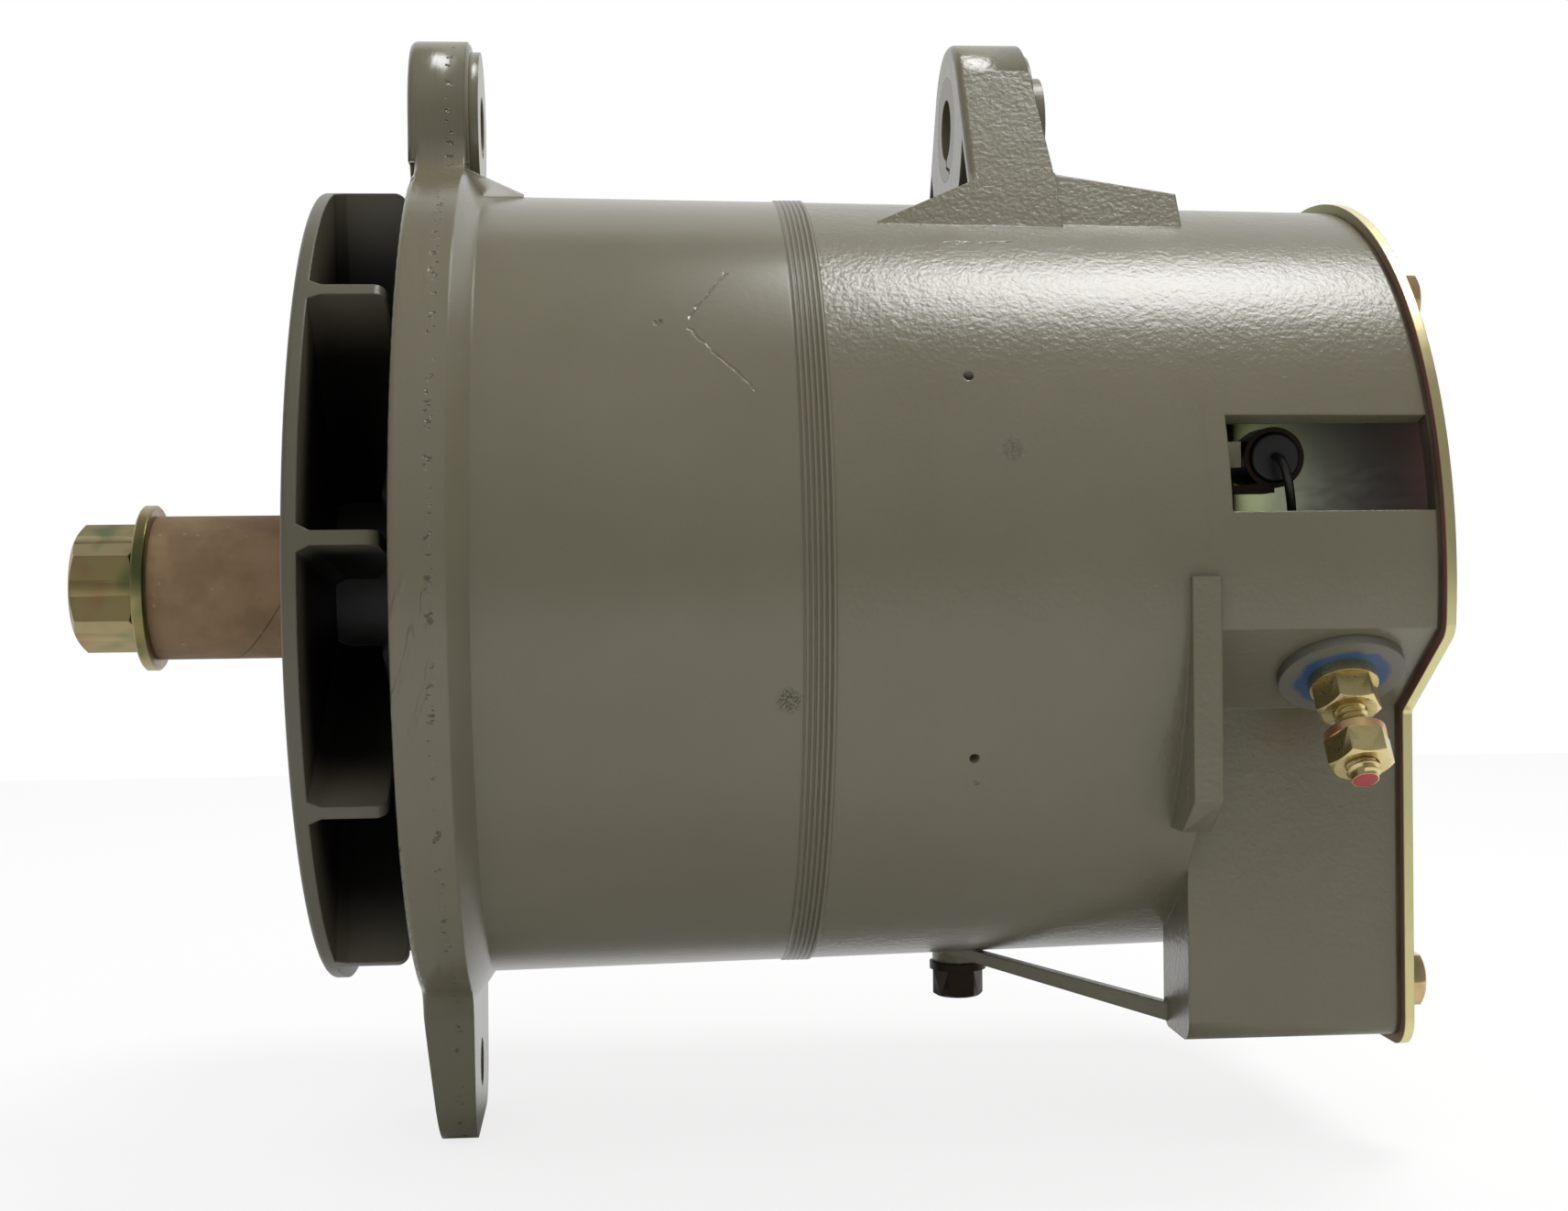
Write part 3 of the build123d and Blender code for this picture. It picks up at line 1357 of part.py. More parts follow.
nut_bodies = [hexagon(stud_plane.offset(level), stud_nut_flats, stud_nut_height, stud_radius + seat_gap)
              for level in (lower_nut, upper_nut)]
with BuildPart() as stud_nuts:
    for nut in nut_bodies:
        add(nut)
stud_nuts.part.label = "stud_nuts"
export_step(stud_nuts.part, "parts/stud_nuts.step")

with BuildPart() as stud_lock_washer:
    with BuildSketch(stud_plane.offset(split_washer)):
        Circle(stud_washer_radius - lock_washer_gap)
        Circle(stud_radius + running_gap, mode=Mode.SUBTRACT)
        with Locations((stud_radius, 0)):
            Rectangle(2 * stud_radius, lock_washer_gap, mode=Mode.SUBTRACT)
    extrude(amount=lock_washer_thickness)
stud_lock_washer.part.label = "stud_lock_washer"
export_step(stud_lock_washer.part, "parts/stud_lock_washer.step")

# Ground screw and its washer
ground_plane = Plane(origin=(ground_station, 0, ground_seat), x_dir=(1, 0, 0), z_dir=(0, 0, -1))
ground_head = hexagon(ground_plane.offset(ground_washer_thickness), ground_screw_flats, ground_screw_head)
with BuildPart() as ground_washer:
    with Locations(ground_plane):
        Cylinder(ground_washer_radius, ground_washer_thickness,
                 align=(Align.CENTER, Align.CENTER, Align.MIN))
        Cylinder(ground_screw_radius + running_gap, ground_washer_thickness,
                 align=(Align.CENTER, Align.CENTER, Align.MIN), mode=Mode.SUBTRACT)
ground_washer.part.label = "ground_washer"
export_step(ground_washer.part, "parts/ground_washer.step")

with BuildPart() as ground_screw:
    add(ground_head)
    with Locations(ground_plane.offset(ground_washer_thickness)):
        Cylinder(ground_screw_radius, ground_screw_length, align=(Align.CENTER, Align.CENTER, Align.MAX))
ground_screw.part.label = "ground_screw"
export_step(ground_screw.part, "parts/ground_screw.step")

# Heat sink low in the rear chamber, with its diodes
sink_plane = partition_rear + post_height
with BuildPart() as heat_sink:
    with BuildSketch(Plane.YZ.offset(sink_plane)):
        with Locations((0, heat_sink_centre)):
            RectangleRounded(heat_sink_width, heat_sink_height, corner_round)
    extrude(amount=heat_sink_base)
    with BuildSketch(Plane.YZ.offset(sink_plane - heat_sink_fin_height)):
        with Locations((0, heat_sink_centre)):
            with GridLocations(heat_sink_pitch, 0, heat_sink_fins, 1):
                Rectangle(heat_sink_fin, heat_sink_height)
    extrude(amount=heat_sink_fin_height)
    with Locations(facing_rear(sink_plane + heat_sink_base, sink_posts_at)):
        Hole(radius=post_screw_radius + hole_gap, depth=heat_sink_base)
heat_sink.part.label = "heat_sink"
export_step(heat_sink.part, "parts/heat_sink.step")

with BuildPart() as diodes:
    with BuildSketch(Plane.YZ.offset(sink_plane + heat_sink_base)):
        with Locations((0, heat_sink_centre)):
            with GridLocations(diode_pitch, diode_row, diode_count // 2, 2):
                Circle(diode_radius)
    extrude(amount=diode_height)
    fillet(diodes.edges().filter_by(GeomType.CIRCLE).group_by(Axis.X)[-1], radius=diode_edge)
    with BuildSketch(Plane.YZ.offset(sink_plane + heat_sink_base + diode_height)):
        with Locations((0, heat_sink_centre)):
            with GridLocations(diode_pitch, diode_row, diode_count // 2, 2):
                Circle(diode_pin_radius)
    extrude(amount=diode_height)
diodes.part.label = "diodes"
export_step(diodes.part, "parts/diodes.step")

# Voltage regulator high in the rear chamber
with BuildPart() as voltage_regulator:
    with BuildSketch(Plane.YZ.offset(sink_plane)):
        with Locations((0, regulator_centre)):
            RectangleRounded(regulator_width, regulator_height, shelf_round)
        with Locations((0, regulator_posts_at[0][1])):
            RectangleRounded(2 * (regulator_posts_at[0][0] + post_radius), 2 * post_radius, shelf_round)
    extrude(amount=heat_sink_base)
    with BuildSketch(Plane.YZ.offset(sink_plane)):
        with Locations((0, regulator_centre)):
            RectangleRounded(regulator_width, regulator_height, shelf_round)
    extrude(amount=regulator_depth)
    with Locations(facing_rear(sink_plane + heat_sink_base, regulator_posts_at)):
        Hole(radius=post_screw_radius + hole_gap, depth=heat_sink_base)
voltage_regulator.part.label = "voltage_regulator"
export_step(voltage_regulator.part, "parts/voltage_regulator.step")

# Screws that hold the heat sink and the regulator on their posts
with BuildPart() as chamber_screws:
    round_screws(facing_rear(sink_plane + heat_sink_base, sink_posts_at + regulator_posts_at),
                 post_screw_radius, post_height, retainer_head_radius, retainer_head_height,
                 retainer_head_radius)
chamber_screws.part.label = "chamber_screws"
export_step(chamber_screws.part, "parts/chamber_screws.step")

# Capacitor behind the side window, its clip on the cast pedestal, and its lead to the stud
capacitor_station = window_front + capacitor_from_window
capacitor_end = Plane(origin=(capacitor_station, -capacitor_reach, capacitor_height),
                      x_dir=(1, 0, 0), z_dir=(0, 1, 0))
with BuildPart() as capacitor:
    with Locations(capacitor_end):
        Cylinder(capacitor_radius, capacitor_length, align=(Align.CENTER, Align.CENTER, Align.MIN))
    fillet(capacitor.edges().filter_by(GeomType.CIRCLE), radius=capacitor_edge)
capacitor.part.label = "capacitor"
export_step(capacitor.part, "parts/capacitor.step")

clip_start = -capacitor_reach + clip_thickness
with BuildPart() as capacitor_clip:
    with BuildSketch(Plane.XZ.offset(-clip_start)):
        with Locations((capacitor_station, capacitor_height)):
            Circle(capacitor_radius + clip_thickness)
        with BuildLine():
            Polyline(
                (partition_rear + clip_thickness, pedestal_top),
                (capacitor_station, pedestal_top),
                (capacitor_station, pedestal_top + 2 * clip_thickness),
                (partition_rear + clip_thickness, pedestal_top + clip_thickness),
                close=True,
            )
        make_face()
        with Locations((capacitor_station, capacitor_height)):
            Circle(capacitor_radius + seat_gap, mode=Mode.SUBTRACT)
    extrude(amount=-clip_width)
capacitor_clip.part.label = "capacitor_clip"
export_step(capacitor_clip.part, "parts/capacitor_clip.step")

# Lead from the end of the capacitor down to a ring tag under the head of the output stud
tag_plane = stud_plane.offset(below_head)
tag_centre = tag_plane.origin
lead_start = (capacitor_station, -capacitor_reach, capacitor_height)
lead_end = (tag_centre.X - tag_reach + lead_radius, tag_centre.Y, tag_centre.Z)
with BuildPart() as capacitor_lead:
    with BuildLine() as lead_path:
        Spline(
            lead_start,
            (capacitor_station + lead_sideways, -capacitor_reach - lead_outwards, side_window_low),
            (capacitor_station + lead_sideways, -capacitor_reach, 0),
            lead_end,
            tangents=((0, -1, 0), (0, 0, -1)),
        )
    with BuildSketch(Plane(origin=lead_start, z_dir=(0, -1, 0))):
        Circle(lead_radius)
    sweep()
    with BuildSketch(tag_plane):
        Circle(tag_radius)
        Rectangle(tag_reach, tag_width, align=(Align.MAX, Align.CENTER))
        Circle(stud_radius + running_gap, mode=Mode.SUBTRACT)
    extrude(amount=-tag_thickness)
capacitor_lead.part.label = "capacitor_lead"
export_step(capacitor_lead.part, "parts/capacitor_lead.step")
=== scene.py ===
"""Looks of a heavy-duty alternator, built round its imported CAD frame."""

import logging
import math
from dataclasses import dataclass
from enum import Enum

import bmesh
import bpy
from mathutils import Matrix, Vector
from mathutils.bvhtree import BVHTree


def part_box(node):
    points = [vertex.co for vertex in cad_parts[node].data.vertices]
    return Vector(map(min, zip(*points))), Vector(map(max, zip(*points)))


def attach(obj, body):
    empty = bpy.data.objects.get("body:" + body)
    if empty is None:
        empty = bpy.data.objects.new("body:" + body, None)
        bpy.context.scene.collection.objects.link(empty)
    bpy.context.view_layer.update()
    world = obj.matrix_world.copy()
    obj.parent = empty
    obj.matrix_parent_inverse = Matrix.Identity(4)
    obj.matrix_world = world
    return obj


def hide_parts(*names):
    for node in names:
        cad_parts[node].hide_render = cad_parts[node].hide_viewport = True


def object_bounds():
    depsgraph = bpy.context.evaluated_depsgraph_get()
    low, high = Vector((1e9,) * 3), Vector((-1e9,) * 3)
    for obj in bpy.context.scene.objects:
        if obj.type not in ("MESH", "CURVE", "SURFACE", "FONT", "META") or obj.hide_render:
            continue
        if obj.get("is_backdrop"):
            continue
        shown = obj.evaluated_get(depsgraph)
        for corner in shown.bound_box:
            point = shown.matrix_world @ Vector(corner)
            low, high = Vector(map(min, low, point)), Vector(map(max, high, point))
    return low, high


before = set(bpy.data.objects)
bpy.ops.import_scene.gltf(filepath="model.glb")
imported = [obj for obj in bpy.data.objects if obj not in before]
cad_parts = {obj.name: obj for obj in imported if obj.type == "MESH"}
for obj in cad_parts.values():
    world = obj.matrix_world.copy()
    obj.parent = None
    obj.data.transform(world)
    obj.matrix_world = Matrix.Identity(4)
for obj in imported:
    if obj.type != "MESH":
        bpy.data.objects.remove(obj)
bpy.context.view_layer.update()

MM = 0.001

# Cosines between the normals of two faces.
SAME_PLANE = 0.99999
FACE_TO_FACE = -0.98

# Lengths and an area in metres, and angles in degrees.
WELD = 0.002 * MM
TOUCH = 0.05 * MM
LEAST_FLAT = 90 * MM * MM
MOST_BEND = 9.0
CRISP = 20.0

WHITE = (1.0, 1.0, 1.0, 1.0)
log = logging.getLogger("alternator")


class Channel(Enum):
    """Sockets of the surface shader, and of the world's background, that are fed here."""

    COLOUR = "Base Color"
    ROUGHNESS = "Roughness"
    METALLIC = "Metallic"
    NORMAL = "Normal"
    SKY_COLOUR = "Color"
    SKY_STRENGTH = "Strength"


@dataclass(frozen=True)
class Signal:
    """A shader value, on which Python's operators add Math nodes."""

    graph: "Graph"
    socket: bpy.types.NodeSocket

    def _math(self, operation: str, *values: "Signal | float") -> "Signal":
        """Add one Math node on the given values.

        Args:
            operation: Blender's name of the operation.
            values: Signals or plain numbers, in the node's own order.

        Returns:
            The node's result.
        """
        settings = {"operation": operation}
        return self.graph.node("ShaderNodeMath", settings, dict(enumerate(values)))

    def __add__(self, other: "Signal | float") -> "Signal":
        """Return self + other."""
        return self._math("ADD", self, other)

    __radd__ = __add__

    def __sub__(self, other: "Signal | float") -> "Signal":
        """Return self - other."""
        return self._math("SUBTRACT", self, other)

    def __rsub__(self, other: float) -> "Signal":
        """Return other - self."""
        return self._math("SUBTRACT", other, self)

    def __mul__(self, other: "Signal | float") -> "Signal":
        """Return self * other."""
        return self._math("MULTIPLY", self, other)

    __rmul__ = __mul__

    def __truediv__(self, other: "Signal | float") -> "Signal":
        """Return self / other."""
        return self._math("DIVIDE", self, other)

    def __rtruediv__(self, other: float) -> "Signal":
        """Return other / self."""
        return self._math("DIVIDE", other, self)

    def __abs__(self) -> "Signal":
        """Return the size of self without its sign."""
        return self._math("ABSOLUTE", self)

    def power(self, exponent: float) -> "Signal":
        """Return self raised to a power."""
        return self._math("POWER", self, exponent)

    def wrapped(self) -> "Signal":
        """Return the part of self after the decimal point."""
        return self._math("FRACT", self)

    def smaller(self, other: "Signal | float") -> "Signal":
        """Return the smaller of two values."""
        return self._math("MINIMUM", self, other)

    def turn(self, other: "Signal") -> "Signal":
        """Return the angle of the point (other, self), in radians."""
        return self._math("ARCTAN2", self, other)

    def ramp(self, low: float, high: float) -> "Signal":
        """Return 0 below low and 1 above high, smooth between them.

        Args:
            low: The value that becomes 0.
            high: The value that becomes 1.

        Returns:
            The eased value.
        """
        settings = {"interpolation_type": "SMOOTHSTEP"}
        inputs = {0: self, 1: low, 2: high, 3: 0.0, 4: 1.0}
        return self.graph.node("ShaderNodeMapRange", settings, inputs)

    def band(self, centre: float, half: float, soft: float) -> "Signal":
        """Return 1 near a value and 0 away from it.

        Args:
            centre: The middle of the band.
            half: Half the band's width.
            soft: The width of its soft edge.

        Returns:
            The mask.
        """
        return 1.0 - abs(self - centre).ramp(half, half + soft)


class Graph:
    """The nodes of one material or of the world."""

    def __init__(self, name: str, world: bool = False) -> None:
        """Start a material with an empty surface shader, or a world with its background.

        Args:
            name: The material's or the world's name.
            world: Whether it is a world.
        """
        self.owner = (bpy.data.worlds if world else bpy.data.materials).new(name)
        self.owner.use_nodes = True
        self.tree = self.owner.node_tree
        self.shader = self.tree.nodes["Background" if world else "Principled BSDF"]
        self._place: dict[str, Signal] = {}

    def node(self, kind: str, settings: dict | None = None, inputs: dict | None = None,
             output: int | str = 0) -> Signal:
        """Add a node, set it up and link its sockets.

        Args:
            kind: Blender's type name of the node.
            settings: Properties of the node, set first.
            inputs: Values or signals by socket name or number.
            output: The output socket to return.

        Returns:
            The chosen output.
        """
        made = self.tree.nodes.new(kind)
        for key, value in (settings or {}).items():
            setattr(made, key, value)
        for key, value in (inputs or {}).items():
            if isinstance(value, Signal):
                self.tree.links.new(value.socket, made.inputs[key])
            else:
                made.inputs[key].default_value = value
        return Signal(self, made.outputs[output])

    def point(self) -> Signal:
        """Return the place on the surface in the part's frame."""
        if "point" not in self._place:
            self._place["point"] = self.node("ShaderNodeTexCoord", output="Object")
        return self._place["point"]

    def axis(self, letter: str) -> Signal:
        """Return one coordinate of the place on the surface, in metres.

        Args:
            letter: X, Y or Z.

        Returns:
            The coordinate.
        """
        if letter not in self._place:
            inputs = {0: self.point()}
            self._place[letter] = self.node("ShaderNodeSeparateXYZ", inputs=inputs, output=letter)
        return self._place[letter]

    def radius(self) -> Signal:
        """Return the distance from the shaft's axis, in metres."""
        return (self.axis("Y").power(2) + self.axis("Z").power(2)).power(0.5)

    def away(self, place: tuple) -> Signal:
        """Return the distance from a fixed place, in metres."""
        inputs = {0: self.point(), 1: place}
        return self.node("ShaderNodeVectorMath", {"operation": "DISTANCE"}, inputs, "Value")

    def noise(self, scale: float, detail: float = 3.0, roughness: float = 0.5,
              stretch: tuple | None = None) -> Signal:
        """Return soft noise over the surface, from 0 to 1.

        Args:
            scale: Features per metre, roughly.
            detail: How many finer layers are added.
            roughness: How strong the finer layers are.
            stretch: Factors along X, Y and Z, for streaks.

        Returns:
            The noise value.
        """
        place = self.point()
        if stretch:
            place = self.node("ShaderNodeMapping", inputs={"Vector": place, "Scale": stretch})
        inputs = {"Vector": place, "Scale": scale, "Detail": detail, "Roughness": roughness}
        return self.node("ShaderNodeTexNoise", inputs=inputs)

    def cells(self, scale: float) -> Signal:
        """Return the distance to the nearest of many random points.

        Args:
            scale: Points per metre, roughly.

        Returns:
            The distance value.
        """
        return self.node("ShaderNodeTexVoronoi", inputs={"Vector": self.point(), "Scale": scale})

    def mix(self, factor: Signal | float, low: Signal | tuple, high: Signal | tuple) -> Signal:
        """Blend two colours.

        Args:
            factor: 0 for the first colour, 1 for the second.
            low: The first colour.
            high: The second colour.

        Returns:
            The blended colour.
        """
        settings = {"data_type": "RGBA", "blend_type": "MIX"}
        return self.node("ShaderNodeMix", settings, {0: factor, 6: low, 7: high}, output=2)

    def bump(self, height: Signal, depth: float, strength: float = 1.0,
             normal: Signal | None = None) -> Signal:
        """Turn a height into a normal.

        Args:
            height: The height, from 0 to 1.
            depth: The real depth of that range, in metres.
            strength: How much of it shows.
            normal: The normal to start from.

        Returns:
            The new normal.
        """
        inputs = {"Height": height, "Distance": depth, "Strength": strength}
        if normal:
            inputs["Normal"] = normal
        return self.node("ShaderNodeBump", inputs=inputs)

    def rounded(self, radius: float) -> Signal:
        """Return a normal that rounds sharp edges by a radius in metres."""
        return self.node("ShaderNodeBevel", {"samples": 4}, {"Radius": radius})

    def feed(self, channel: Channel, value: Signal | float | tuple) -> None:
        """Set or link one socket of the surface shader or the background.

        Args:
            channel: The socket.
            value: A signal, or the same value all over.
        """
        socket = self.shader.inputs[channel.value]
        if isinstance(value, Signal):
            self.tree.links.new(value.socket, socket)
        else:
            socket.default_value = value

    def surface(self, tint: Signal, rough: Signal | float, normal: Signal,
                metal: Signal | float = 0.0) -> None:
        """Feed the surface shader with a whole finish.

        Args:
            tint: The colour.
            rough: The roughness.
            normal: The normal.
            metal: 1 for a metal, 0 for anything else.
        """
        self.feed(Channel.COLOUR, tint)
        self.feed(Channel.METALLIC, metal)
        self.feed(Channel.ROUGHNESS, rough)
        self.feed(Channel.NORMAL, normal)

    def glow(self) -> Signal:
        """Return an even white light."""
        return self.node("ShaderNodeEmission", inputs={"Color": WHITE, "Strength": 1.0})

    def show(self, shader: Signal) -> None:
        """Show a shader in place of the surface shader."""
        self.tree.links.new(shader.socket, self.tree.nodes["Material Output"].inputs["Surface"])


def colour(red: float, green: float, blue: float) -> tuple:
    """Turn a colour as a screen shows it, from 0 to 255, into the shader's own values.

    Args:
        red: The red part.
        green: The green part.
        blue: The blue part.

    Returns:
        The four numbers of a colour socket.
    """
    def straight(value: float) -> float:
        """Undo the screen's curve for one part."""
        part = value / 255
        return part / 12.92 if part <= 0.04045 else ((part + 0.055) / 1.055) ** 2.4

    return (straight(red), straight(green), straight(blue), 1.0)


class CastSkin(Enum):
    """How coarse the paint lies on a casting: the size and the depth of its grain, in metres."""

    FINE = (0.0016, 0.000035)
    COARSE = (0.0011, 0.00016)
    SPRAYED = (0.0009, 0.00004)


@dataclass(frozen=True)
class Blemish:
    """A small rough spot on a casting: its place, its reach and how far it lies above the skin."""

    place: tuple
    reach: float
    rise: float
    darkness: float = 0.4
    depth: float = 0.2 * MM
    stain: tuple = colour(48, 44, 34)

    def mask(self, graph: Graph) -> Signal:
        """Return 1 on the spot and 0 beside it."""
        near = 1.0 - graph.away(self.place).ramp(self.reach * 0.2, self.reach)
        return near * graph.noise(2400, 4, 0.7).ramp(0.5, 0.62)


@dataclass(frozen=True)
class Scratch:
    """A straight scratch, seen from the side: its two ends along X and Z, and its width."""

    start: tuple
    end: tuple
    width: float = 0.35 * MM
    darkness: float = 0.5
    rise: float = -1.0
    depth: float = 0.12 * MM
    stain: tuple = colour(52, 48, 38)
    waver: float = 2.2 * MM

    def mask(self, graph: Graph) -> Signal:
        """Draw the scratch on the side that faces the camera.

        Args:
            graph: The material's nodes.

        Returns:
            1 on the scratch and 0 beside it.
        """
        along = Vector(self.end) - Vector(self.start)
        half_length, half_width = along.length / 2, self.width / 2
        step = along.normalized()
        x = graph.axis("X") - self.start[0]
        z = graph.axis("Z") - self.start[1]
        run = x * step.x + z * step.y
        off = z * step.x - x * step.y + (graph.noise(240, 2, 0.5) - 0.5) * self.waver
        line = off.band(0.0, half_width, half_width) * run.band(half_length, half_length, MM)
        near_side = 1.0 - graph.axis("Y").ramp(-20 * MM, 0.0)
        return line * near_side * graph.noise(420, 2, 0.5).ramp(0.3, 0.6)


@dataclass(frozen=True)
class CastPaint:
    """Semi-gloss olive grey paint over a casting, with painted shade on its inner faces where
    asked.
    """

    name: str
    skin: CastSkin
    base: tuple = colour(110, 105, 87)
    shade: tuple = colour(103, 98, 80)
    inner_shade: tuple = colour(22, 20, 17)
    edge_round: float = 0.6 * MM
    gloss: float = 0.3
    shade_radii: tuple | None = None
    shade_behind: float | None = None
    shade_fade: float = 0.4 * MM
    pore_band: tuple | None = None
    pores_from: tuple = (86.02 * MM, 87.75 * MM)
    stroke_pitch: float = 4.6 * MM
    blemishes: tuple = ()
    scratches: tuple = ()
    dust: tuple = colour(150, 146, 130)
    pore_shade: tuple = colour(42, 40, 32)

    def build(self) -> bpy.types.Material:
        """Make the material.

        Returns:
            The finished material.
        """
        graph = Graph(self.name)
        grain_size, grain_depth = self.skin.value
        cloud = graph.noise(18, 4, 0.6)
        grain = graph.noise(1 / grain_size, 3, 0.55)
        clean = graph.cells(420).ramp(0.05, 0.12)
        tint = graph.mix(cloud.ramp(0.2, 0.8), self.shade, self.base)
        tint = graph.mix(0.94 + clean * 0.06, self.dust, tint)
        # Painted shade: faces nearer the shaft than the given radii, and behind the given station
        # along X, are darkened to a near-black colour. This stands in for the shade deep inside
        # the fan and the drive-end frame.
        if self.shade_radii:
            painted_shade = 1.0 - graph.radius().ramp(*self.shade_radii)
            if self.shade_behind:
                fade_end = self.shade_behind + self.shade_fade
                painted_shade = painted_shade * graph.axis("X").ramp(self.shade_behind, fade_end)
            tint = graph.mix(painted_shade, tint, self.inner_shade)
        lumps = graph.noise(260, 2, 0.5)
        height = grain * 0.7 + lumps * 0.5
        normal = graph.bump(height, grain_depth, 1.0, graph.rounded(self.edge_round))
        if self.pore_band:
            normal, tint = self._add_pores(graph, normal, tint)
        for mark in self.blemishes + self.scratches:
            mask = mark.mask(graph)
            tint = graph.mix(mask * mark.darkness, tint, mark.stain)
            normal = graph.bump(mask * mark.rise, mark.depth, 1.0, normal)
        graph.surface(tint, self.gloss + cloud * 0.06, normal)
        return graph.owner

    def _add_pores(self, graph: Graph, normal: Signal, tint: Signal) -> tuple[Signal, Signal]:
        """Add the brush strokes and the line of pores that follow the flange's rim, with painted
        shade in the pores.

        Args:
            graph: The material's nodes.
            normal: The normal so far.
            tint: The colour so far.

        Returns:
            The new normal and colour.
        """
        station, half = self.pore_band
        rim = graph.axis("X").band(station, half, half)
        outside = graph.radius().ramp(*self.pores_from)
        pores = graph.noise(900, 2, 0.6, (0.6, 1.0, 1.0)).ramp(0.58, 0.70) * rim * outside
        brushed = graph.noise(160, 2, 0.5, (3.0, 1.0, 0.35))
        front = 1.0 - graph.axis("X").ramp(station - MM, station + MM)
        slanted = graph.axis("X") * 0.95 + graph.axis("Z") * -0.3 + (brushed - 0.5) * (3 * MM)
        strokes = (slanted / self.stroke_pitch).wrapped().band(0.5, 0.05, 0.12)
        stretch = graph.axis("Z").band(-13 * MM, 12 * MM, 6 * MM)
        strokes = strokes * stretch * brushed.ramp(0.4, 0.55)
        height = (brushed * 0.5 + strokes * 0.8) * front * outside - pores
        # Painted shade: the pores are darkened as well as sunk.
        tint = graph.mix(pores * 0.55, tint, self.pore_shade)
        return graph.bump(height, 0.35 * MM, 0.8, normal), tint


@dataclass(frozen=True)
class ZincPlate:
    """Yellow zinc plating, whose thin film turns from gold to pink and green."""

    name: str
    pattern: float = 30.0
    gold: tuple = colour(206, 192, 142)
    pink: tuple = colour(196, 156, 132)
    green: tuple = colour(160, 164, 116)
    gloss: float = 0.26
    inside_until: float | None = None
    inside_fade: float = 0.2 * MM
    inside_near: tuple = colour(120, 84, 74)
    inside_far: tuple = colour(176, 186, 132)

    def build(self) -> bpy.types.Material:
        """Make the material.

        Returns:
            The finished material.
        """
        graph = Graph(self.name)
        film = graph.noise(self.pattern, 2, 0.5)
        tint = graph.mix(film.ramp(0.36, 0.50), self.green, self.gold)
        tint = graph.mix(film.ramp(0.52, 0.66), tint, self.pink)
        scratch = graph.noise(500, 2, 0.6, (1.0, 0.15, 1.0))
        rough = self.gloss + scratch * 0.15
        metal = 1.0
        if self.inside_until:
            fade_end = self.inside_until + self.inside_fade
            inside = 1.0 - graph.axis("X").ramp(self.inside_until, fade_end)
            sweep = graph.axis("Y").ramp(-75 * MM, 20 * MM)
            tint = graph.mix(inside, tint, graph.mix(sweep, self.inside_near, self.inside_far))
            rough = rough + inside * 0.3
            metal = 1.0 - inside * 0.75
        normal = graph.bump(scratch, 0.03 * MM, 0.6, graph.rounded(0.25 * MM))
        graph.surface(tint, rough, normal, metal)
        return graph.owner


@dataclass(frozen=True)
class BareMetal:
    """A machined or drawn metal with fine tool marks along one direction."""

    name: str
    tone: tuple
    dark: tuple
    gloss: float = 0.3
    streak: tuple = (1.0, 0.2, 0.2)
    stain: float = 0.3
    edge_round: float = 0.2 * MM

    def build(self) -> bpy.types.Material:
        """Make the material.

        Returns:
            The finished material.
        """
        graph = Graph(self.name)
        marks = graph.noise(1400, 2, 0.6, self.streak)
        cloud = graph.noise(60, 3, 0.6)
        tint = graph.mix(cloud.ramp(0.4, 0.75) * self.stain, self.tone, self.dark)
        normal = graph.bump(marks, 0.012 * MM, 0.7, graph.rounded(self.edge_round))
        graph.surface(tint, self.gloss + marks * 0.14, normal, 1.0)
        return graph.owner


@dataclass(frozen=True)
class Moulding:
    """A moulded, taped or dipped part that is not metal."""

    name: str
    tone: tuple
    other: tuple
    gloss: float = 0.5
    grain: float = 700.0
    depth: float = 0.02 * MM

    def build(self) -> bpy.types.Material:
        """Make the material.

        Returns:
            The finished material.
        """
        graph = Graph(self.name)
        grain = graph.noise(self.grain, 3, 0.6)
        cloud = graph.noise(90, 2, 0.5)
        tint = graph.mix(cloud.ramp(0.35, 0.7), self.tone, self.other)
        normal = graph.bump(grain, self.depth, 0.8, graph.rounded(0.2 * MM))
        graph.surface(tint, self.gloss + grain * 0.12, normal)
        return graph.owner


@dataclass(frozen=True)
class WoundBoard:
    """Brown board wound in a spiral, with flecks and an open seam."""

    name: str
    lead: float = 62 * MM
    seam_place: float = 0.12
    tone: tuple = colour(146, 120, 89)
    shade: tuple = colour(120, 97, 70)
    fleck: tuple = colour(182, 158, 130)
    seam: tuple = colour(58, 40, 26)

    def build(self) -> bpy.types.Material:
        """Make the material.

        Returns:
            The finished material.
        """
        graph = Graph(self.name)
        around = graph.axis("Z").turn(graph.axis("Y")) / (2 * math.pi)
        winding = (around + graph.axis("X") / self.lead + self.seam_place).wrapped()
        seam = winding.band(0.5, 0.0022, 0.0028)
        fibre = graph.noise(700, 4, 0.7, (0.35, 1.0, 1.0))
        flecked = 1.0 - graph.cells(300).ramp(0.05, 0.16)
        cloud = graph.noise(110, 3, 0.6)
        tint = graph.mix(cloud.ramp(0.3, 0.7) * 0.7 + fibre * 0.3, self.shade, self.tone)
        tint = graph.mix(flecked * 0.35, tint, self.fleck)
        tint = graph.mix(seam * 0.45, tint, self.seam)
        height = fibre * 0.5 - seam
        normal = graph.bump(height, 0.12 * MM, 0.8, graph.rounded(0.3 * MM))
        graph.surface(tint, 0.82, normal)
        return graph.owner


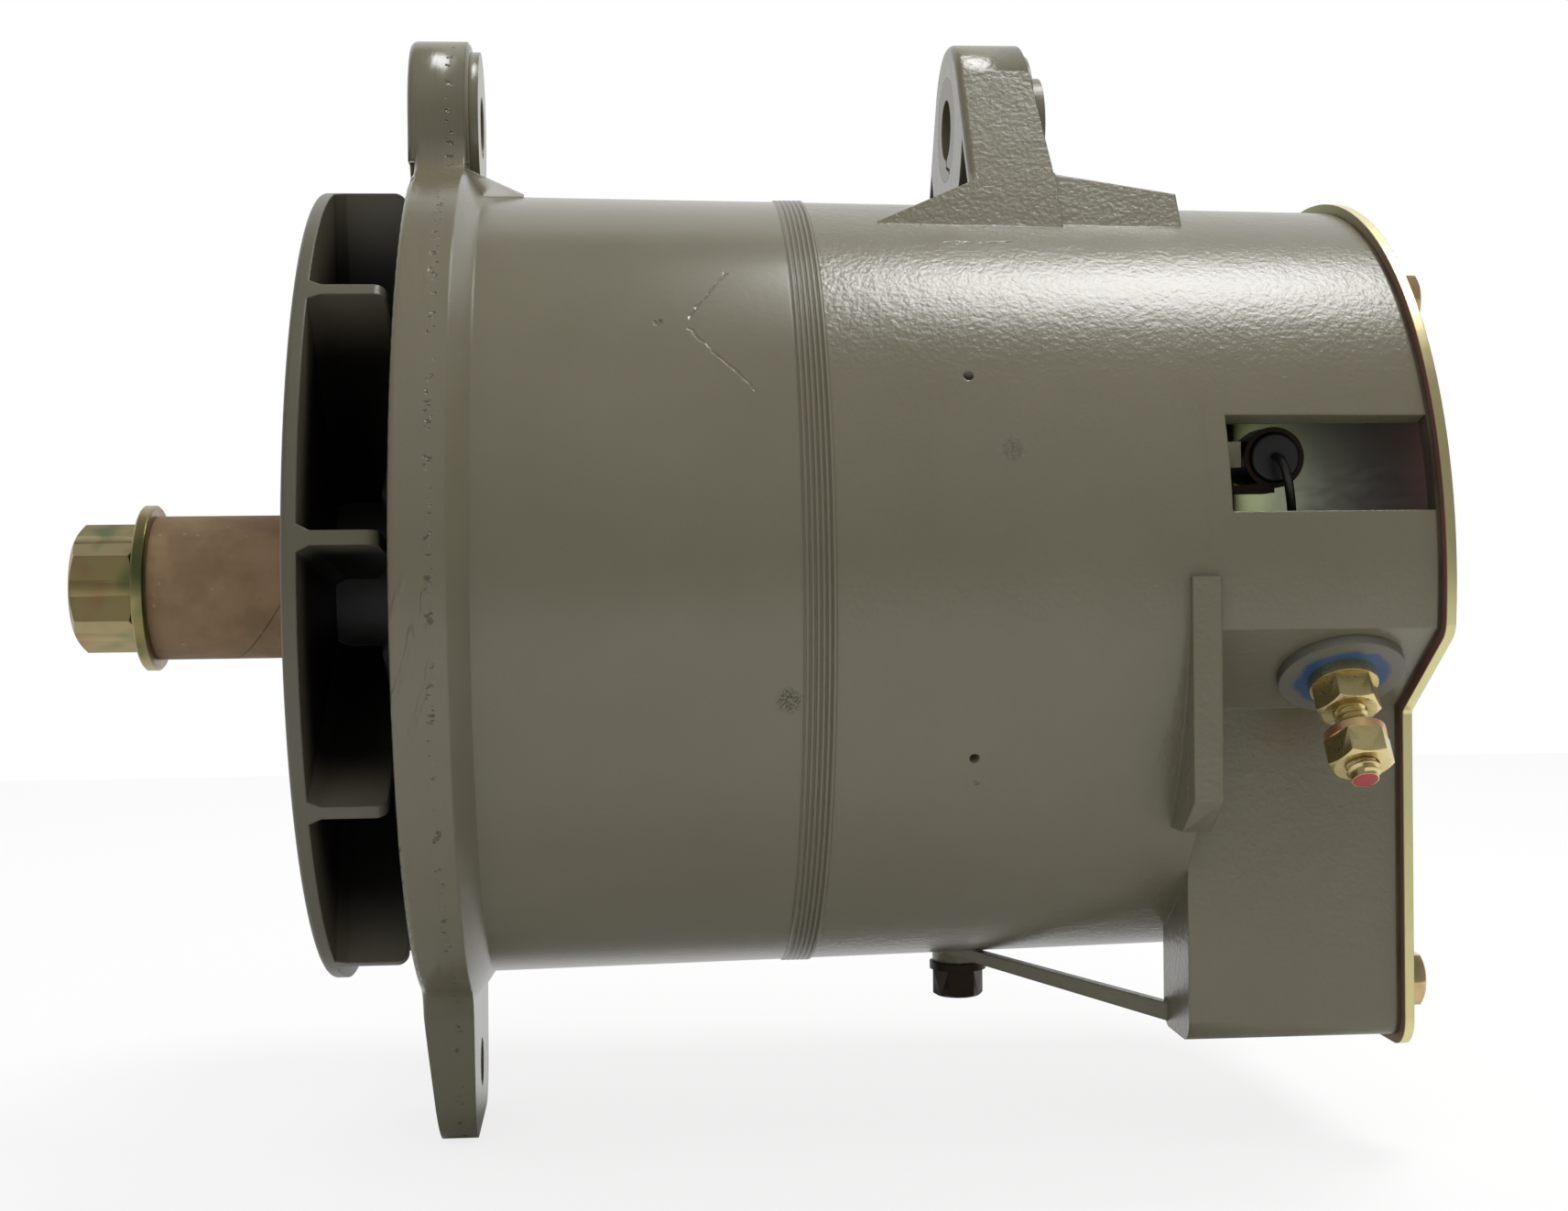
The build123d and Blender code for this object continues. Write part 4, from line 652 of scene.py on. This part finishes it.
@dataclass(frozen=True)
class StainedWasher:
    """Grey painted insulator with blue dye that has crept out from under the nut."""

    name: str
    centre: tuple
    stain_radius: float = 9.6 * MM
    paint: tuple = colour(100, 98, 86)
    blue: tuple = colour(36, 74, 112)

    def build(self) -> bpy.types.Material:
        """Make the material.

        Returns:
            The finished material.
        """
        graph = Graph(self.name)
        ragged = graph.away(self.centre) + (graph.noise(220, 3, 0.6) - 0.5) * (3.4 * MM)
        stain = 1.0 - ragged.ramp(self.stain_radius - 1.2 * MM, self.stain_radius)
        grain = graph.noise(900, 3, 0.5)
        tint = graph.mix(stain, self.paint, self.blue)
        normal = graph.bump(grain, 0.05 * MM, 0.8, graph.rounded(0.4 * MM))
        graph.surface(tint, 0.42 + grain * 0.1, normal)
        return graph.owner


@dataclass(frozen=True)
class Laminations:
    """Stacked thin sheets of stator steel, with a coat of varnish."""

    name: str
    sheet: float = 1.0 * MM
    tone: tuple = colour(104, 88, 74)
    dark: tuple = colour(70, 52, 40)
    gap: tuple = colour(24, 18, 14)

    def build(self) -> bpy.types.Material:
        """Make the material.

        Returns:
            The finished material.
        """
        graph = Graph(self.name)
        gap = (graph.axis("X") / self.sheet).wrapped().band(0.5, 0.10, 0.12)
        cloud = graph.noise(70, 3, 0.6)
        tint = graph.mix(cloud.ramp(0.3, 0.7), self.dark, self.tone)
        tint = graph.mix(gap * 0.6, tint, self.gap)
        graph.surface(tint, 0.46, graph.bump(1.0 - gap, 0.12 * MM, 0.8), 0.6)
        return graph.owner


@dataclass(frozen=True)
class WireBundle:
    """Varnished copper wire laid round the bore in many turns."""

    name: str
    wire: float = 1.3 * MM
    tone: tuple = colour(132, 66, 36)
    dark: tuple = colour(58, 28, 16)

    def build(self) -> bpy.types.Material:
        """Make the material.

        Returns:
            The finished material.
        """
        graph = Graph(self.name)
        wander = graph.noise(50, 3, 0.6) * 0.9
        laid = (graph.axis("X") + graph.radius()) / self.wire + wander
        rows = laid.wrapped().band(0.5, 0.2, 0.3)
        tint = graph.mix(rows, self.dark, self.tone)
        graph.surface(tint, 0.34, graph.bump(rows, 0.5 * MM, 0.9), 0.35)
        return graph.owner


# Painted shade: the fan's base and shade colours are the casting paint darkened, standing in for
# the dimmer light on the fan.
PAINT_ON_FAN = CastPaint(
    "fan_paint", CastSkin.SPRAYED, colour(90, 86, 71), colour(82, 78, 64), gloss=0.36,
    shade_radii=(66 * MM, 82.5 * MM), shade_behind=2.4 * MM)
PAINT_ON_DRIVE_END = CastPaint(
    "drive_end_paint", CastSkin.FINE, gloss=0.21, shade_radii=(79.5 * MM, 80.5 * MM),
    pore_band=(26.6 * MM, 0.5 * MM),
    blemishes=(Blemish((68.7 * MM, -66.1 * MM, 49.0 * MM), 1.4 * MM, -1.0, 0.9),
               Blemish((91.4 * MM, -79.2 * MM, -22.1 * MM), 3.2 * MM, 0.8, 0.55)),
    scratches=(Scratch((73.5 * MM, 49.0 * MM), (81.4 * MM, 59.3 * MM), darkness=0.22),
               Scratch((74.5 * MM, 47.5 * MM), (86.0 * MM, 36.0 * MM), darkness=0.1)))
PAINT_ON_REAR = CastPaint(
    "rear_casting_paint", CastSkin.COARSE, gloss=0.22,
    blemishes=(Blemish((133.7 * MM, -77.7 * MM, 24.1 * MM), 3.4 * MM, 1.4, 0.02),
               Blemish((127.3 * MM, -71.6 * MM, -38.6 * MM), 1.1 * MM, -0.6, 0.3)),
    scratches=(Scratch((126.9 * MM, 67.0 * MM), (139.3 * MM, 67.6 * MM), darkness=0.4),
               Scratch((170.3 * MM, 5.0 * MM), (170.5 * MM, 33.0 * MM), 0.8 * MM, 0.05, 0.4)))
PAINT_ON_BUSHING = CastPaint("bushing_paint", CastSkin.SPRAYED, edge_round=0.3 * MM)
# Painted shade: the nut's and washer's zinc colours are darkened, standing in for the shade on the
# nut's facets.
ZINC_ON_NUT = ZincPlate("zinc_on_shaft_nut", pattern=70, gold=colour(150, 136, 94),
                        pink=colour(150, 108, 84), green=colour(104, 112, 72))
ZINC_ON_COVER = ZincPlate("zinc_on_cover", pattern=14, gold=colour(214, 204, 150),
                          pink=colour(212, 192, 146), green=colour(198, 196, 144),
                          gloss=0.24, inside_until=214.98 * MM)
# Painted light: the screws' zinc colours are brightened, standing in for light that their metal
# does not catch from the dim room.
ZINC_ON_SCREWS = ZincPlate("zinc_on_screws", pattern=120, gold=colour(236, 202, 152),
                           pink=colour(226, 166, 130), green=colour(200, 190, 142), gloss=0.34)
STEEL = BareMetal("machined_steel", colour(168, 166, 160), colour(96, 92, 86))
ROTOR_STEEL = BareMetal("rotor_steel", colour(112, 100, 90), colour(60, 46, 38),
                        gloss=0.42, stain=0.8)
BRASS = BareMetal("stud_brass", colour(216, 200, 146), colour(164, 138, 84), gloss=0.22,
                  streak=(0.3, 1.0, 1.0), stain=0.35)
BLACK_STEEL = BareMetal("blackened_steel", colour(46, 38, 32), colour(20, 16, 14), gloss=0.36)
ALUMINIUM = BareMetal("heat_sink_aluminium", colour(176, 176, 174), colour(120, 120, 118),
                      gloss=0.36)
BLACK_PLASTIC = Moulding("black_moulding", colour(16, 16, 16), colour(28, 27, 26), gloss=0.32)
CAGE_PLASTIC = Moulding("cage_moulding", colour(120, 92, 60), colour(96, 72, 46))
COIL_TAPE = Moulding("coil_tape", colour(126, 104, 70), colour(96, 76, 48), gloss=0.6, grain=400,
                     depth=0.1 * MM)
GASKET_BOARD = Moulding("gasket_board", colour(70, 58, 44), colour(54, 44, 34), gloss=0.8)
RED_DYE = Moulding("red_paint_dab", colour(178, 32, 34), colour(150, 24, 28), gloss=0.3)


def new_object(name: str, data: bpy.types.ID) -> bpy.types.Object:
    """Link a new object to the scene.

    Args:
        name: The object's name.
        data: What it holds.

    Returns:
        The object.
    """
    made = bpy.data.objects.new(name, data)
    bpy.context.scene.collection.objects.link(made)
    return made


def mesh_from(work: bmesh.types.BMesh, name: str) -> bpy.types.Mesh:
    """Turn a bmesh into a mesh.

    Args:
        work: The bmesh, which is freed here.
        name: The mesh's name.

    Returns:
        The mesh.
    """
    mesh = bpy.data.meshes.new(name)
    work.to_mesh(mesh)
    work.free()
    return mesh


def closed_mesh(work: bmesh.types.BMesh, name: str) -> bpy.types.Mesh:
    """Turn a new shape into a mesh with its doubles merged and its faces turned outwards.

    Args:
        work: The shape, which is freed here.
        name: The mesh's name.

    Returns:
        The mesh.
    """
    bmesh.ops.remove_doubles(work, verts=work.verts, dist=WELD)
    bmesh.ops.recalc_face_normals(work, faces=work.faces)
    return mesh_from(work, name)


def plain_faces(mesh: bpy.types.Mesh) -> set[int]:
    """Find the faces that make up large flat areas.

    Args:
        mesh: The mesh.

    Returns:
        The indices of the faces.
    """
    work = bmesh.new()
    work.from_mesh(mesh)
    work.faces.ensure_lookup_table()
    found, seen = set(), set()
    for start in work.faces:
        if start.index in seen:
            continue
        seen.add(start.index)
        area = [start]
        for face in area:
            for other in (other for edge in face.edges for other in edge.link_faces):
                if other.index not in seen and other.normal.dot(start.normal) > SAME_PLANE:
                    seen.add(other.index)
                    area.append(other)
        if sum(face.calc_area() for face in area) > LEAST_FLAT:
            found.update(face.index for face in area)
    work.free()
    return found


def drum_normals(corners: list[Vector], reach: list[float], drums: tuple) -> list[Vector]:
    """Find the normals of the known drum that a facet lies on.

    Args:
        corners: The facet's corners.
        reach: Their distances from the shaft's axis.
        drums: Known tapering rounds, each as two pairs of station and radius.

    Returns:
        A normal for each corner, or none where the facet is on no drum.
    """
    for (start, start_radius), (end, end_radius) in drums:
        slope = (start_radius - end_radius) / (end - start)
        if all(start - TOUCH < corner.x < end + TOUCH
               and abs(start_radius - slope * (corner.x - start) - radius) < 2 * TOUCH
               for corner, radius in zip(corners, reach)):
            return [Vector((slope, corner.y / radius, corner.z / radius)).normalized()
                    for corner, radius in zip(corners, reach)]
    return []


def turned_normals(flat: Vector, corners: list[Vector], reach: list[float]) -> list[Vector]:
    """Find the normals of the face turned about the shaft that a facet seems to lie on.

    Args:
        flat: The facet's own normal.
        corners: Its corners.
        reach: Their distances from the shaft's axis.

    Returns:
        A normal for each corner, or none where the facet is part of no such face.
    """
    tilt = math.sqrt(max(0.0, 1.0 - flat.x ** 2))
    if flat.y * corners[0].y + flat.z * corners[0].z <= 0:
        tilt = -tilt
    if any(abs((corner.x - corners[0].x) * flat.x + (radius - reach[0]) * tilt) >= TOUCH
           for corner, radius in zip(corners, reach)):
        return []
    turned = [Vector((flat.x, tilt * corner.y / radius, tilt * corner.z / radius))
              for corner, radius in zip(corners, reach)]
    fits = all(math.degrees(flat.angle(normal)) < MOST_BEND for normal in turned)
    return turned if fits else []


def true_round_normals(mesh: bpy.types.Mesh, drums: tuple) -> None:
    """Give round faces the normals of the round, and large flat ones those of the flat.

    Args:
        mesh: The mesh, with its sharp edges set.
        drums: Known tapering rounds, each as two pairs of station and radius.
    """
    plain = plain_faces(mesh)
    normals = [(0.0, 0.0, 0.0)] * len(mesh.loops)
    for face in mesh.polygons:
        corners = [mesh.vertices[index].co for index in face.vertices]
        reach = [math.hypot(corner.y, corner.z) for corner in corners]
        if min(reach) < MM:
            continue
        flat = face.normal.copy()
        known = drum_normals(corners, reach, drums) or turned_normals(flat, corners, reach)
        if not known and face.index in plain:
            known = [flat] * len(corners)
        for loop, normal in zip(face.loop_indices, known):
            normals[loop] = normal
    mesh.normals_split_custom_set(normals)


def joined_mesh(nodes: tuple) -> bpy.types.Mesh:
    """Join CAD nodes, without the faces where two of them touch.

    Args:
        nodes: The CAD nodes.

    Returns:
        The joined mesh.
    """
    meshes = [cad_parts[node].data for node in nodes]
    trees = [BVHTree.FromPolygons([corner.co for corner in mesh.vertices],
                                  [tuple(face.vertices) for face in mesh.polygons])
             for mesh in meshes]
    whole = bmesh.new()
    for mesh, own_tree in zip(meshes, trees):
        piece = bmesh.new()
        piece.from_mesh(mesh)
        piece.normal_update()
        hidden = set()
        for tree in trees:
            for face in piece.faces if tree is not own_tree else ():
                _, normal, _, _ = tree.find_nearest(face.calc_center_median(), TOUCH)
                if normal is not None and normal.dot(face.normal) < FACE_TO_FACE:
                    hidden.add(face)
        bmesh.ops.delete(piece, geom=list(hidden), context="FACES")
        trimmed = mesh_from(piece, "trimmed")
        whole.from_mesh(trimmed)
        bpy.data.meshes.remove(trimmed)
    bmesh.ops.remove_doubles(whole, verts=whole.verts, dist=WELD)
    return mesh_from(whole, f"{nodes[0]}_dressed")


def put_in_place(mesh: bpy.types.Mesh, body: str, material: bpy.types.Material,
                 crease: float = 40.0, stands_for: tuple = ()) -> None:
    """Shade a mesh smoothly and make it a piece of its name that rides on a body.

    Args:
        mesh: The mesh.
        body: The body that it moves with.
        material: The finish.
        crease: The least angle, in degrees, at which an edge stays sharp.
        stands_for: CAD nodes that the piece replaces.
    """
    mesh.materials.append(material)
    mesh.shade_smooth()
    mesh.set_sharp_from_angle(angle=math.radians(crease))
    made = new_object(mesh.name, mesh)
    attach(made, body)
    if stands_for:
        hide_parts(*stands_for)


def dressed_copy(nodes: str | tuple, body: str, material: bpy.types.Material,
                 crease: float = 22.0, drums: tuple = ()) -> None:
    """Show a smooth-shaded copy of a CAD node in its place, or of several as one.

    Args:
        nodes: The CAD node, or all that were cut from one piece.
        body: The body that it moves with.
        material: The finish.
        crease: The least angle, in degrees, at which an edge stays sharp.
        drums: Known tapering rounds, each as two pairs of station and radius.
    """
    nodes = (nodes,) if isinstance(nodes, str) else nodes
    mesh = joined_mesh(nodes)
    put_in_place(mesh, body, material, crease, nodes)
    true_round_normals(mesh, drums)


@dataclass
class Castings:
    """The two painted castings, with the grooved band between them."""

    body: str = "housing"
    slot: str = "painted_metal"
    band_start: float = 94.3 * MM
    band_length: float = 6.1 * MM
    band_proud: float = 0.28 * MM
    band_thickness: float = 1.26 * MM
    groove_count: int = 6
    groove_depth: float = 0.42 * MM
    groove_width: float = 0.32 * MM
    band_steps: int = 240
    drum_start: float = 33.6 * MM
    start_radius: float = 83.0 * MM
    joint: float = 94.2 * MM
    joint_radius: float = 82.0 * MM
    drum_end: float = 214.1 * MM
    end_radius: float = 79.8 * MM

    def build(self) -> None:
        """Dress both castings and add the band."""
        front_drum = ((self.drum_start, self.start_radius), (self.joint, self.joint_radius))
        rear_drum = ((self.joint, self.joint_radius), (self.drum_end, self.end_radius))
        for start, paint, drum in (("drive_end_", PAINT_ON_DRIVE_END, front_drum),
                                   ("rear_end_", PAINT_ON_REAR, rear_drum)):
            nodes = tuple(sorted(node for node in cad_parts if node.startswith(start)))
            dressed_copy(nodes, self.body, paint.build(), drums=(drum,))
        self.add_band(CastPaint("band_paint", CastSkin.FINE, edge_round=0.15 * MM).build())

    def add_band(self, paint: bpy.types.Material) -> None:
        """Add the band with its fine grooves, just behind the joint of the castings.

        Args:
            paint: The finish.
        """
        radius = self.joint_radius + self.band_proud
        floor = radius - self.band_thickness
        pitch = self.band_length / self.groove_count
        profile = [(self.band_start, floor)]
        for number in range(self.groove_count):
            start = self.band_start + pitch * number
            profile += [
                (start, radius - self.groove_depth),
                (start + self.groove_width, radius),
                (start + pitch - self.groove_width, radius),
            ]
        profile += [
            (self.band_start + self.band_length, radius - self.groove_depth),
            (self.band_start + self.band_length, floor),
        ]
        work = bmesh.new()
        corners = [work.verts.new((station, 0.0, radius)) for station, radius in profile]
        edges = [work.edges.new(pair) for pair in zip(corners, corners[1:] + corners[:1])]
        bmesh.ops.spin(work, geom=corners + edges, cent=(0, 0, 0), axis=(1, 0, 0),
                       angle=2 * math.pi, steps=self.band_steps, use_merge=True)
        put_in_place(closed_mesh(work, "parting_band"), self.body, paint, CRISP)


@dataclass
class ShaftEnd:
    """The parts on the nose of the shaft: nut, washer, board sleeve, and the fan behind them."""

    body: str = "rotor"

    def build(self) -> None:
        """Dress the fan, the sleeve, the washer and the nut."""
        dressed_copy("fan", self.body, PAINT_ON_FAN.build())
        dressed_copy("shaft_sleeve", self.body, WoundBoard("wound_board").build())
        zinc = ZINC_ON_NUT.build()
        dressed_copy("shaft_washer", self.body, zinc)
        dressed_copy("shaft_nut", self.body, zinc, crease=CRISP)


@dataclass
class OutputTerminal:
    """The insulated output stud with its nuts, washers and red end."""

    body: str = "housing"
    stud_radius: float = 3.175 * MM
    thread_pitch: float = 1.27 * MM
    thread_depth: float = 0.62 * MM
    thread_steps: int = 28
    thread_crease: float = 30.0
    ridge_depth: float = 1.1
    ridge_width: float = 0.92
    crest_width: float = 0.2
    plain_turns: float = 0.8
    tip_setback: float = 0.79
    root_setback: float = 5.0 * MM
    dab_radius: float = 2.5 * MM
    dab_height: float = 0.25 * MM
    dab_taper: float = 0.9
    dab_steps: int = 24

    def build(self) -> None:
        """Dress the nuts and washers and add the thread and the red end."""
        brass = BRASS.build()
        for node in ("stud_nuts", "stud_washer"):
            dressed_copy(node, self.body, brass, crease=CRISP)
        dressed_copy("stud_lock_washer", self.body, ZINC_ON_SCREWS.build(),
                     crease=CRISP)
        start, outward = self.axis_frame()
        dressed_copy("stud_insulator", self.body,
                     StainedWasher("stained_insulator", tuple(start)).build())
        dressed_copy("inner_insulator", self.body, BLACK_PLASTIC.build())
        self.add_stud(brass, start, outward)

    def axis_frame(self) -> tuple[Vector, Vector]:
        """Find the stud's axis from the centres of its washer and its nuts.

        Returns:
            A point on the axis and the outward direction.
        """
        washer_low, washer_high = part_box("stud_washer")
        nuts_low, nuts_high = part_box("stud_nuts")
        start = (washer_low + washer_high) / 2
        outward = ((nuts_low + nuts_high) / 2 - start).normalized()
        return start, outward

    def add_stud(self, brass: bpy.types.Material, start: Vector, outward: Vector) -> None:
        """Add the threaded stud and the dab of red paint on its end.

        Args:
            brass: The stud's finish.
            start: A point on the stud's axis.
            outward: The direction of its tip.
        """
        low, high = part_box("output_stud")
        rim = self.stud_radius * self.tip_setback
        tip = start + outward * ((start.z - low.z) / -outward.z - rim)
        root = start - outward * ((high.z - start.z) / -outward.z - self.root_setback)
        length = (tip - root).length
        turn = outward.to_track_quat("Z", "Y").to_matrix().to_4x4()
        place = Matrix.Translation(root) @ turn
        work = bmesh.new()
        core = self.stud_radius - self.thread_depth
        middle = Matrix.Translation((0, 0, length / 2))
        bmesh.ops.create_cone(work, cap_ends=True, segments=self.thread_steps, radius1=core,
                              radius2=core, depth=length, matrix=middle)
        self.add_thread(work, length)
        bmesh.ops.transform(work, matrix=place, verts=work.verts)
        put_in_place(closed_mesh(work, "output_stud_threaded"), self.body, brass,
                     self.thread_crease, ("output_stud",))
        dab = bmesh.new()
        end = place @ Matrix.Translation((0, 0, length))
        bmesh.ops.create_cone(dab, cap_ends=True, segments=self.dab_steps,
                              radius1=self.dab_radius, radius2=self.dab_radius * self.dab_taper,
                              depth=self.dab_height, matrix=end)
        put_in_place(closed_mesh(dab, "stud_red_end"), self.body, RED_DYE.build())

    def add_thread(self, work: bmesh.types.BMesh, length: float) -> None:
        """Wind the thread's ridge round the core.

        Args:
            work: The bmesh that holds the core, upright on the origin.
            length: The stud's length.
        """
        foot = self.stud_radius - self.thread_depth * self.ridge_depth
        half = self.thread_pitch * self.ridge_width / 2
        crest = half * self.crest_width
        corners = [work.verts.new((radius, 0, height)) for radius, height in (
            (foot, -half), (self.stud_radius, -crest), (self.stud_radius, crest), (foot, half))]
        edges = [work.edges.new(pair) for pair in zip(corners, corners[1:])]
        turns = length / self.thread_pitch - 2 * self.plain_turns
        rise = self.thread_pitch * self.plain_turns
        bmesh.ops.translate(work, verts=corners, vec=(0, 0, rise))
        bmesh.ops.spin(work, geom=corners + edges, cent=(0, 0, 0), axis=(0, 0, 1),
                       dvec=(0, 0, self.thread_pitch / self.thread_steps),
                       angle=2 * math.pi * turns, steps=int(self.thread_steps * turns),
                       use_merge=False)


@dataclass
class CoverSide:
    """The zinc plated cover, its gasket and its screws."""

    body: str = "housing"

    def build(self) -> None:
        """Dress the cover and what holds it."""
        dressed_copy("cover_plate", self.body, ZINC_ON_COVER.build())
        dressed_copy("cover_gasket", self.body, GASKET_BOARD.build())
        dressed_copy("cover_screws", self.body, ZINC_ON_SCREWS.build(), crease=CRISP)


@dataclass
class HingeAndGround:
    """The split bushing in the rear lug, and the ground screw under the drum."""

    def build(self) -> None:
        """Dress the bushing, the screw and its washer."""
        dressed_copy("hinge_bushing", "bushing", PAINT_ON_BUSHING.build())
        dressed_copy("ground_screw", "housing", BLACK_STEEL.build(), crease=CRISP)
        dressed_copy("ground_washer", "housing", BLACK_STEEL.build())


@dataclass
class RearChamber:
    """What shows through the side window and behind the cover."""

    body: str = "housing"

    def build(self) -> None:
        """Dress the pieces in the rear chamber."""
        black = BLACK_PLASTIC.build()
        for node in ("capacitor", "capacitor_lead", "voltage_regulator", "diodes"):
            dressed_copy(node, self.body, black)
        dressed_copy("capacitor_clip", self.body, BLACK_STEEL.build())
        dressed_copy("heat_sink", self.body, ALUMINIUM.build())
        dressed_copy("chamber_screws", self.body, STEEL.build(), crease=CRISP)


@dataclass
class Machine:
    """The rotor, stator, bearings and coil inside the castings."""

    def build(self) -> None:
        """Dress what shows through the air windows and in a section."""
        steel, cage = STEEL.build(), CAGE_PLASTIC.build()
        for body, slot, material, nodes in (
                ("housing", "brushed_steel", steel,
                 ("through_bolts", "field_coil_support", "support_screws", "front_outer_race",
                  "rear_outer_race", "bearing_retainer", "retainer_screws")),
                ("rotor", "brushed_steel", steel,
                 ("shaft", "fan_key", "bearing_spacer", "front_inner_race", "rear_inner_race")),
                ("rotor", "brushed_steel", ROTOR_STEEL.build(),
                 ("rotor_front_pole", "rotor_rear_pole", "pole_ring")),
                ("housing", "brushed_steel", Laminations("stator_sheets").build(),
                 ("stator_core",)),
                ("housing", "copper_enamel", WireBundle("varnished_wire").build(),
                 ("stator_winding",)),
                ("housing", "coil_wrap", COIL_TAPE.build(), ("field_coil",)),
                ("front_bearing_cage", "cage_plastic", cage, ("front_cage",)),
                ("rear_bearing_cage", "cage_plastic", cage, ("rear_cage",)),
                ("front_bearing_cage", "brushed_steel", steel, ("front_balls",)),
                ("rear_bearing_cage", "brushed_steel", steel, ("rear_rollers",))):
            for node in nodes:
                dressed_copy(node, body, material)


@dataclass(frozen=True)
class Lamp:
    """A square lamp: its place, the point it faces, its side in metres, its power in watts."""

    name: str
    place: tuple
    target: tuple
    size: float
    power: float
    mirrored: bool = True


@dataclass
class Studio:
    """Floor, backdrop, lamps and the camera at the photograph's place."""

    frame_width: float = 1712.0
    focal_pixels: float = 2400.0
    sensor: float = 36.0
    camera_station: float = 58.9 * MM
    camera_distance: float = 482.0 * MM
    yaw: float = -4.51
    pitch: float = -0.64
    roll: float = 0.66
    floor_gap: float = 0.5 * MM
    room: float = 6.0
    backdrop_distance: float = 0.9
    backdrop_height: float = 1.74
    bright_floor_start: float = 0.045
    seen_glow: float = 0.8
    mirrored_glow: float = 0.85
    room_light: float = 0.3
    clip_start: float = 20 * MM
    lamps: tuple = (
        Lamp("ceiling_lamp", (0.40, 0.05, 0.94), (0.16, 0.0, 0.05), 0.36, 5.6),
        Lamp("front_lamp", (0.0, -1.0, 1.15), (0.08, 0.0, 0.0), 1.5, 10.0, mirrored=False),
        Lamp("chamber_lamp", (0.196, 0.055, 0.02), (0.214, -0.03, 0.02), 0.016, 0.0035))

    def build(self) -> None:
        """Set up the whole studio."""
        self.set_colour_view()
        self.add_camera()
        self.add_floor_and_backdrop()
        self.add_world()
        for lamp in self.lamps:
            self.add_lamp(lamp)

    def set_colour_view(self) -> None:
        """Show colours as they are written."""
        bpy.context.scene.view_settings.view_transform = "Standard"

    def add_camera(self) -> None:
        """Place the camera as it stood for the photograph."""
        data = bpy.data.cameras.new("camera")
        data.sensor_width = self.sensor
        data.lens = self.sensor * self.focal_pixels / self.frame_width
        data.clip_start = self.clip_start
        camera = new_object("camera", data)
        turn = (Matrix.Rotation(math.radians(self.yaw), 4, "Z")
                @ Matrix.Rotation(math.radians(self.pitch), 4, "X")
                @ Matrix.Rotation(math.radians(self.roll), 4, "Y")
                @ Matrix.Rotation(math.radians(90), 4, "X"))
        place = Matrix.Translation((self.camera_station, -self.camera_distance, 0))
        camera.matrix_world = place @ turn
        bpy.context.scene.camera = camera

    def add_floor_and_backdrop(self) -> None:
        """Add the pale floor under the lowest point, and a white backdrop behind the object."""
        low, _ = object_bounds()
        level = Matrix.Translation((0, 0, low[2] - self.floor_gap))
        self.add_sheet("floor", self.room / 2, level, self.floor_material())
        upright = Matrix.Rotation(math.radians(90), 4, "X")
        height = low[2] + self.backdrop_height - self.room / 2
        centre = Matrix.Translation((0, self.backdrop_distance, height))
        self.add_sheet("backdrop", self.room / 2, centre @ upright, self.backdrop_material())

    def add_sheet(self, name: str, half: float, place: Matrix,
                  material: bpy.types.Material) -> None:
        """Add one flat square that is not part of the object.

        Args:
            name: The sheet's name.
            half: Half its side, in metres.
            place: Where it lies.
            material: Its finish.
        """
        work = bmesh.new()
        bmesh.ops.create_grid(work, x_segments=1, y_segments=1, size=half, matrix=place)
        mesh = mesh_from(work, name)
        mesh.materials.append(material)
        new_object(name, mesh)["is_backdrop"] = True

    def backdrop_material(self) -> bpy.types.Material:
        """Make the backdrop's even white glow.

        Returns:
            The material.
        """
        graph = Graph("white_backdrop")
        graph.show(graph.glow())
        return graph.owner

    def floor_material(self) -> bpy.types.Material:
        """Make the floor's pale matt finish, which the camera sees nearly white.

        Returns:
            The material.
        """
        graph = Graph("pale_floor")
        graph.feed(Channel.COLOUR, colour(244, 244, 244))
        graph.feed(Channel.ROUGHNESS, 0.9)
        seen = graph.node("ShaderNodeLightPath", output="Is Camera Ray")
        mirrored = graph.node("ShaderNodeLightPath", output="Is Glossy Ray")
        behind = graph.axis("Y").ramp(0.0, self.bright_floor_start)
        share = (seen * self.seen_glow + mirrored * behind * self.mirrored_glow).smaller(1.0)
        matt = Signal(graph, graph.shader.outputs[0])
        inputs = {0: share, 1: matt, 2: graph.glow()}
        graph.show(graph.node("ShaderNodeMixShader", inputs=inputs))
        return graph.owner

    def add_world(self) -> None:
        """Fill the room with soft grey light that the camera sees as white."""
        graph = Graph("room", world=True)
        seen = graph.node("ShaderNodeLightPath", output="Is Camera Ray")
        inputs = {"Value": seen, "To Min": self.room_light, "To Max": 1.0}
        graph.feed(Channel.SKY_COLOUR, WHITE)
        graph.feed(Channel.SKY_STRENGTH, graph.node("ShaderNodeMapRange", inputs=inputs))
        bpy.context.scene.world = graph.owner

    def add_lamp(self, lamp: Lamp) -> None:
        """Add one lamp.

        Args:
            lamp: Its measures.
        """
        data = bpy.data.lights.new(lamp.name, "AREA")
        data.size = lamp.size
        data.energy = lamp.power
        made = new_object(lamp.name, data)
        made.visible_glossy = lamp.mirrored
        aim = Vector(lamp.target) - Vector(lamp.place)
        turn = aim.to_track_quat("-Z", "Y").to_matrix().to_4x4()
        made.matrix_world = Matrix.Translation(lamp.place) @ turn


def main() -> None:
    """Build every sub-assembly in order."""
    logging.basicConfig(level=logging.INFO, format="%(name)s: %(message)s")
    for part in (Castings(), ShaftEnd(), OutputTerminal(), CoverSide(), HingeAndGround(),
                 RearChamber(), Machine(), Studio()):
        part.build()
        log.info("built %s", type(part).__name__)


if __name__ == "__main__":
    main()
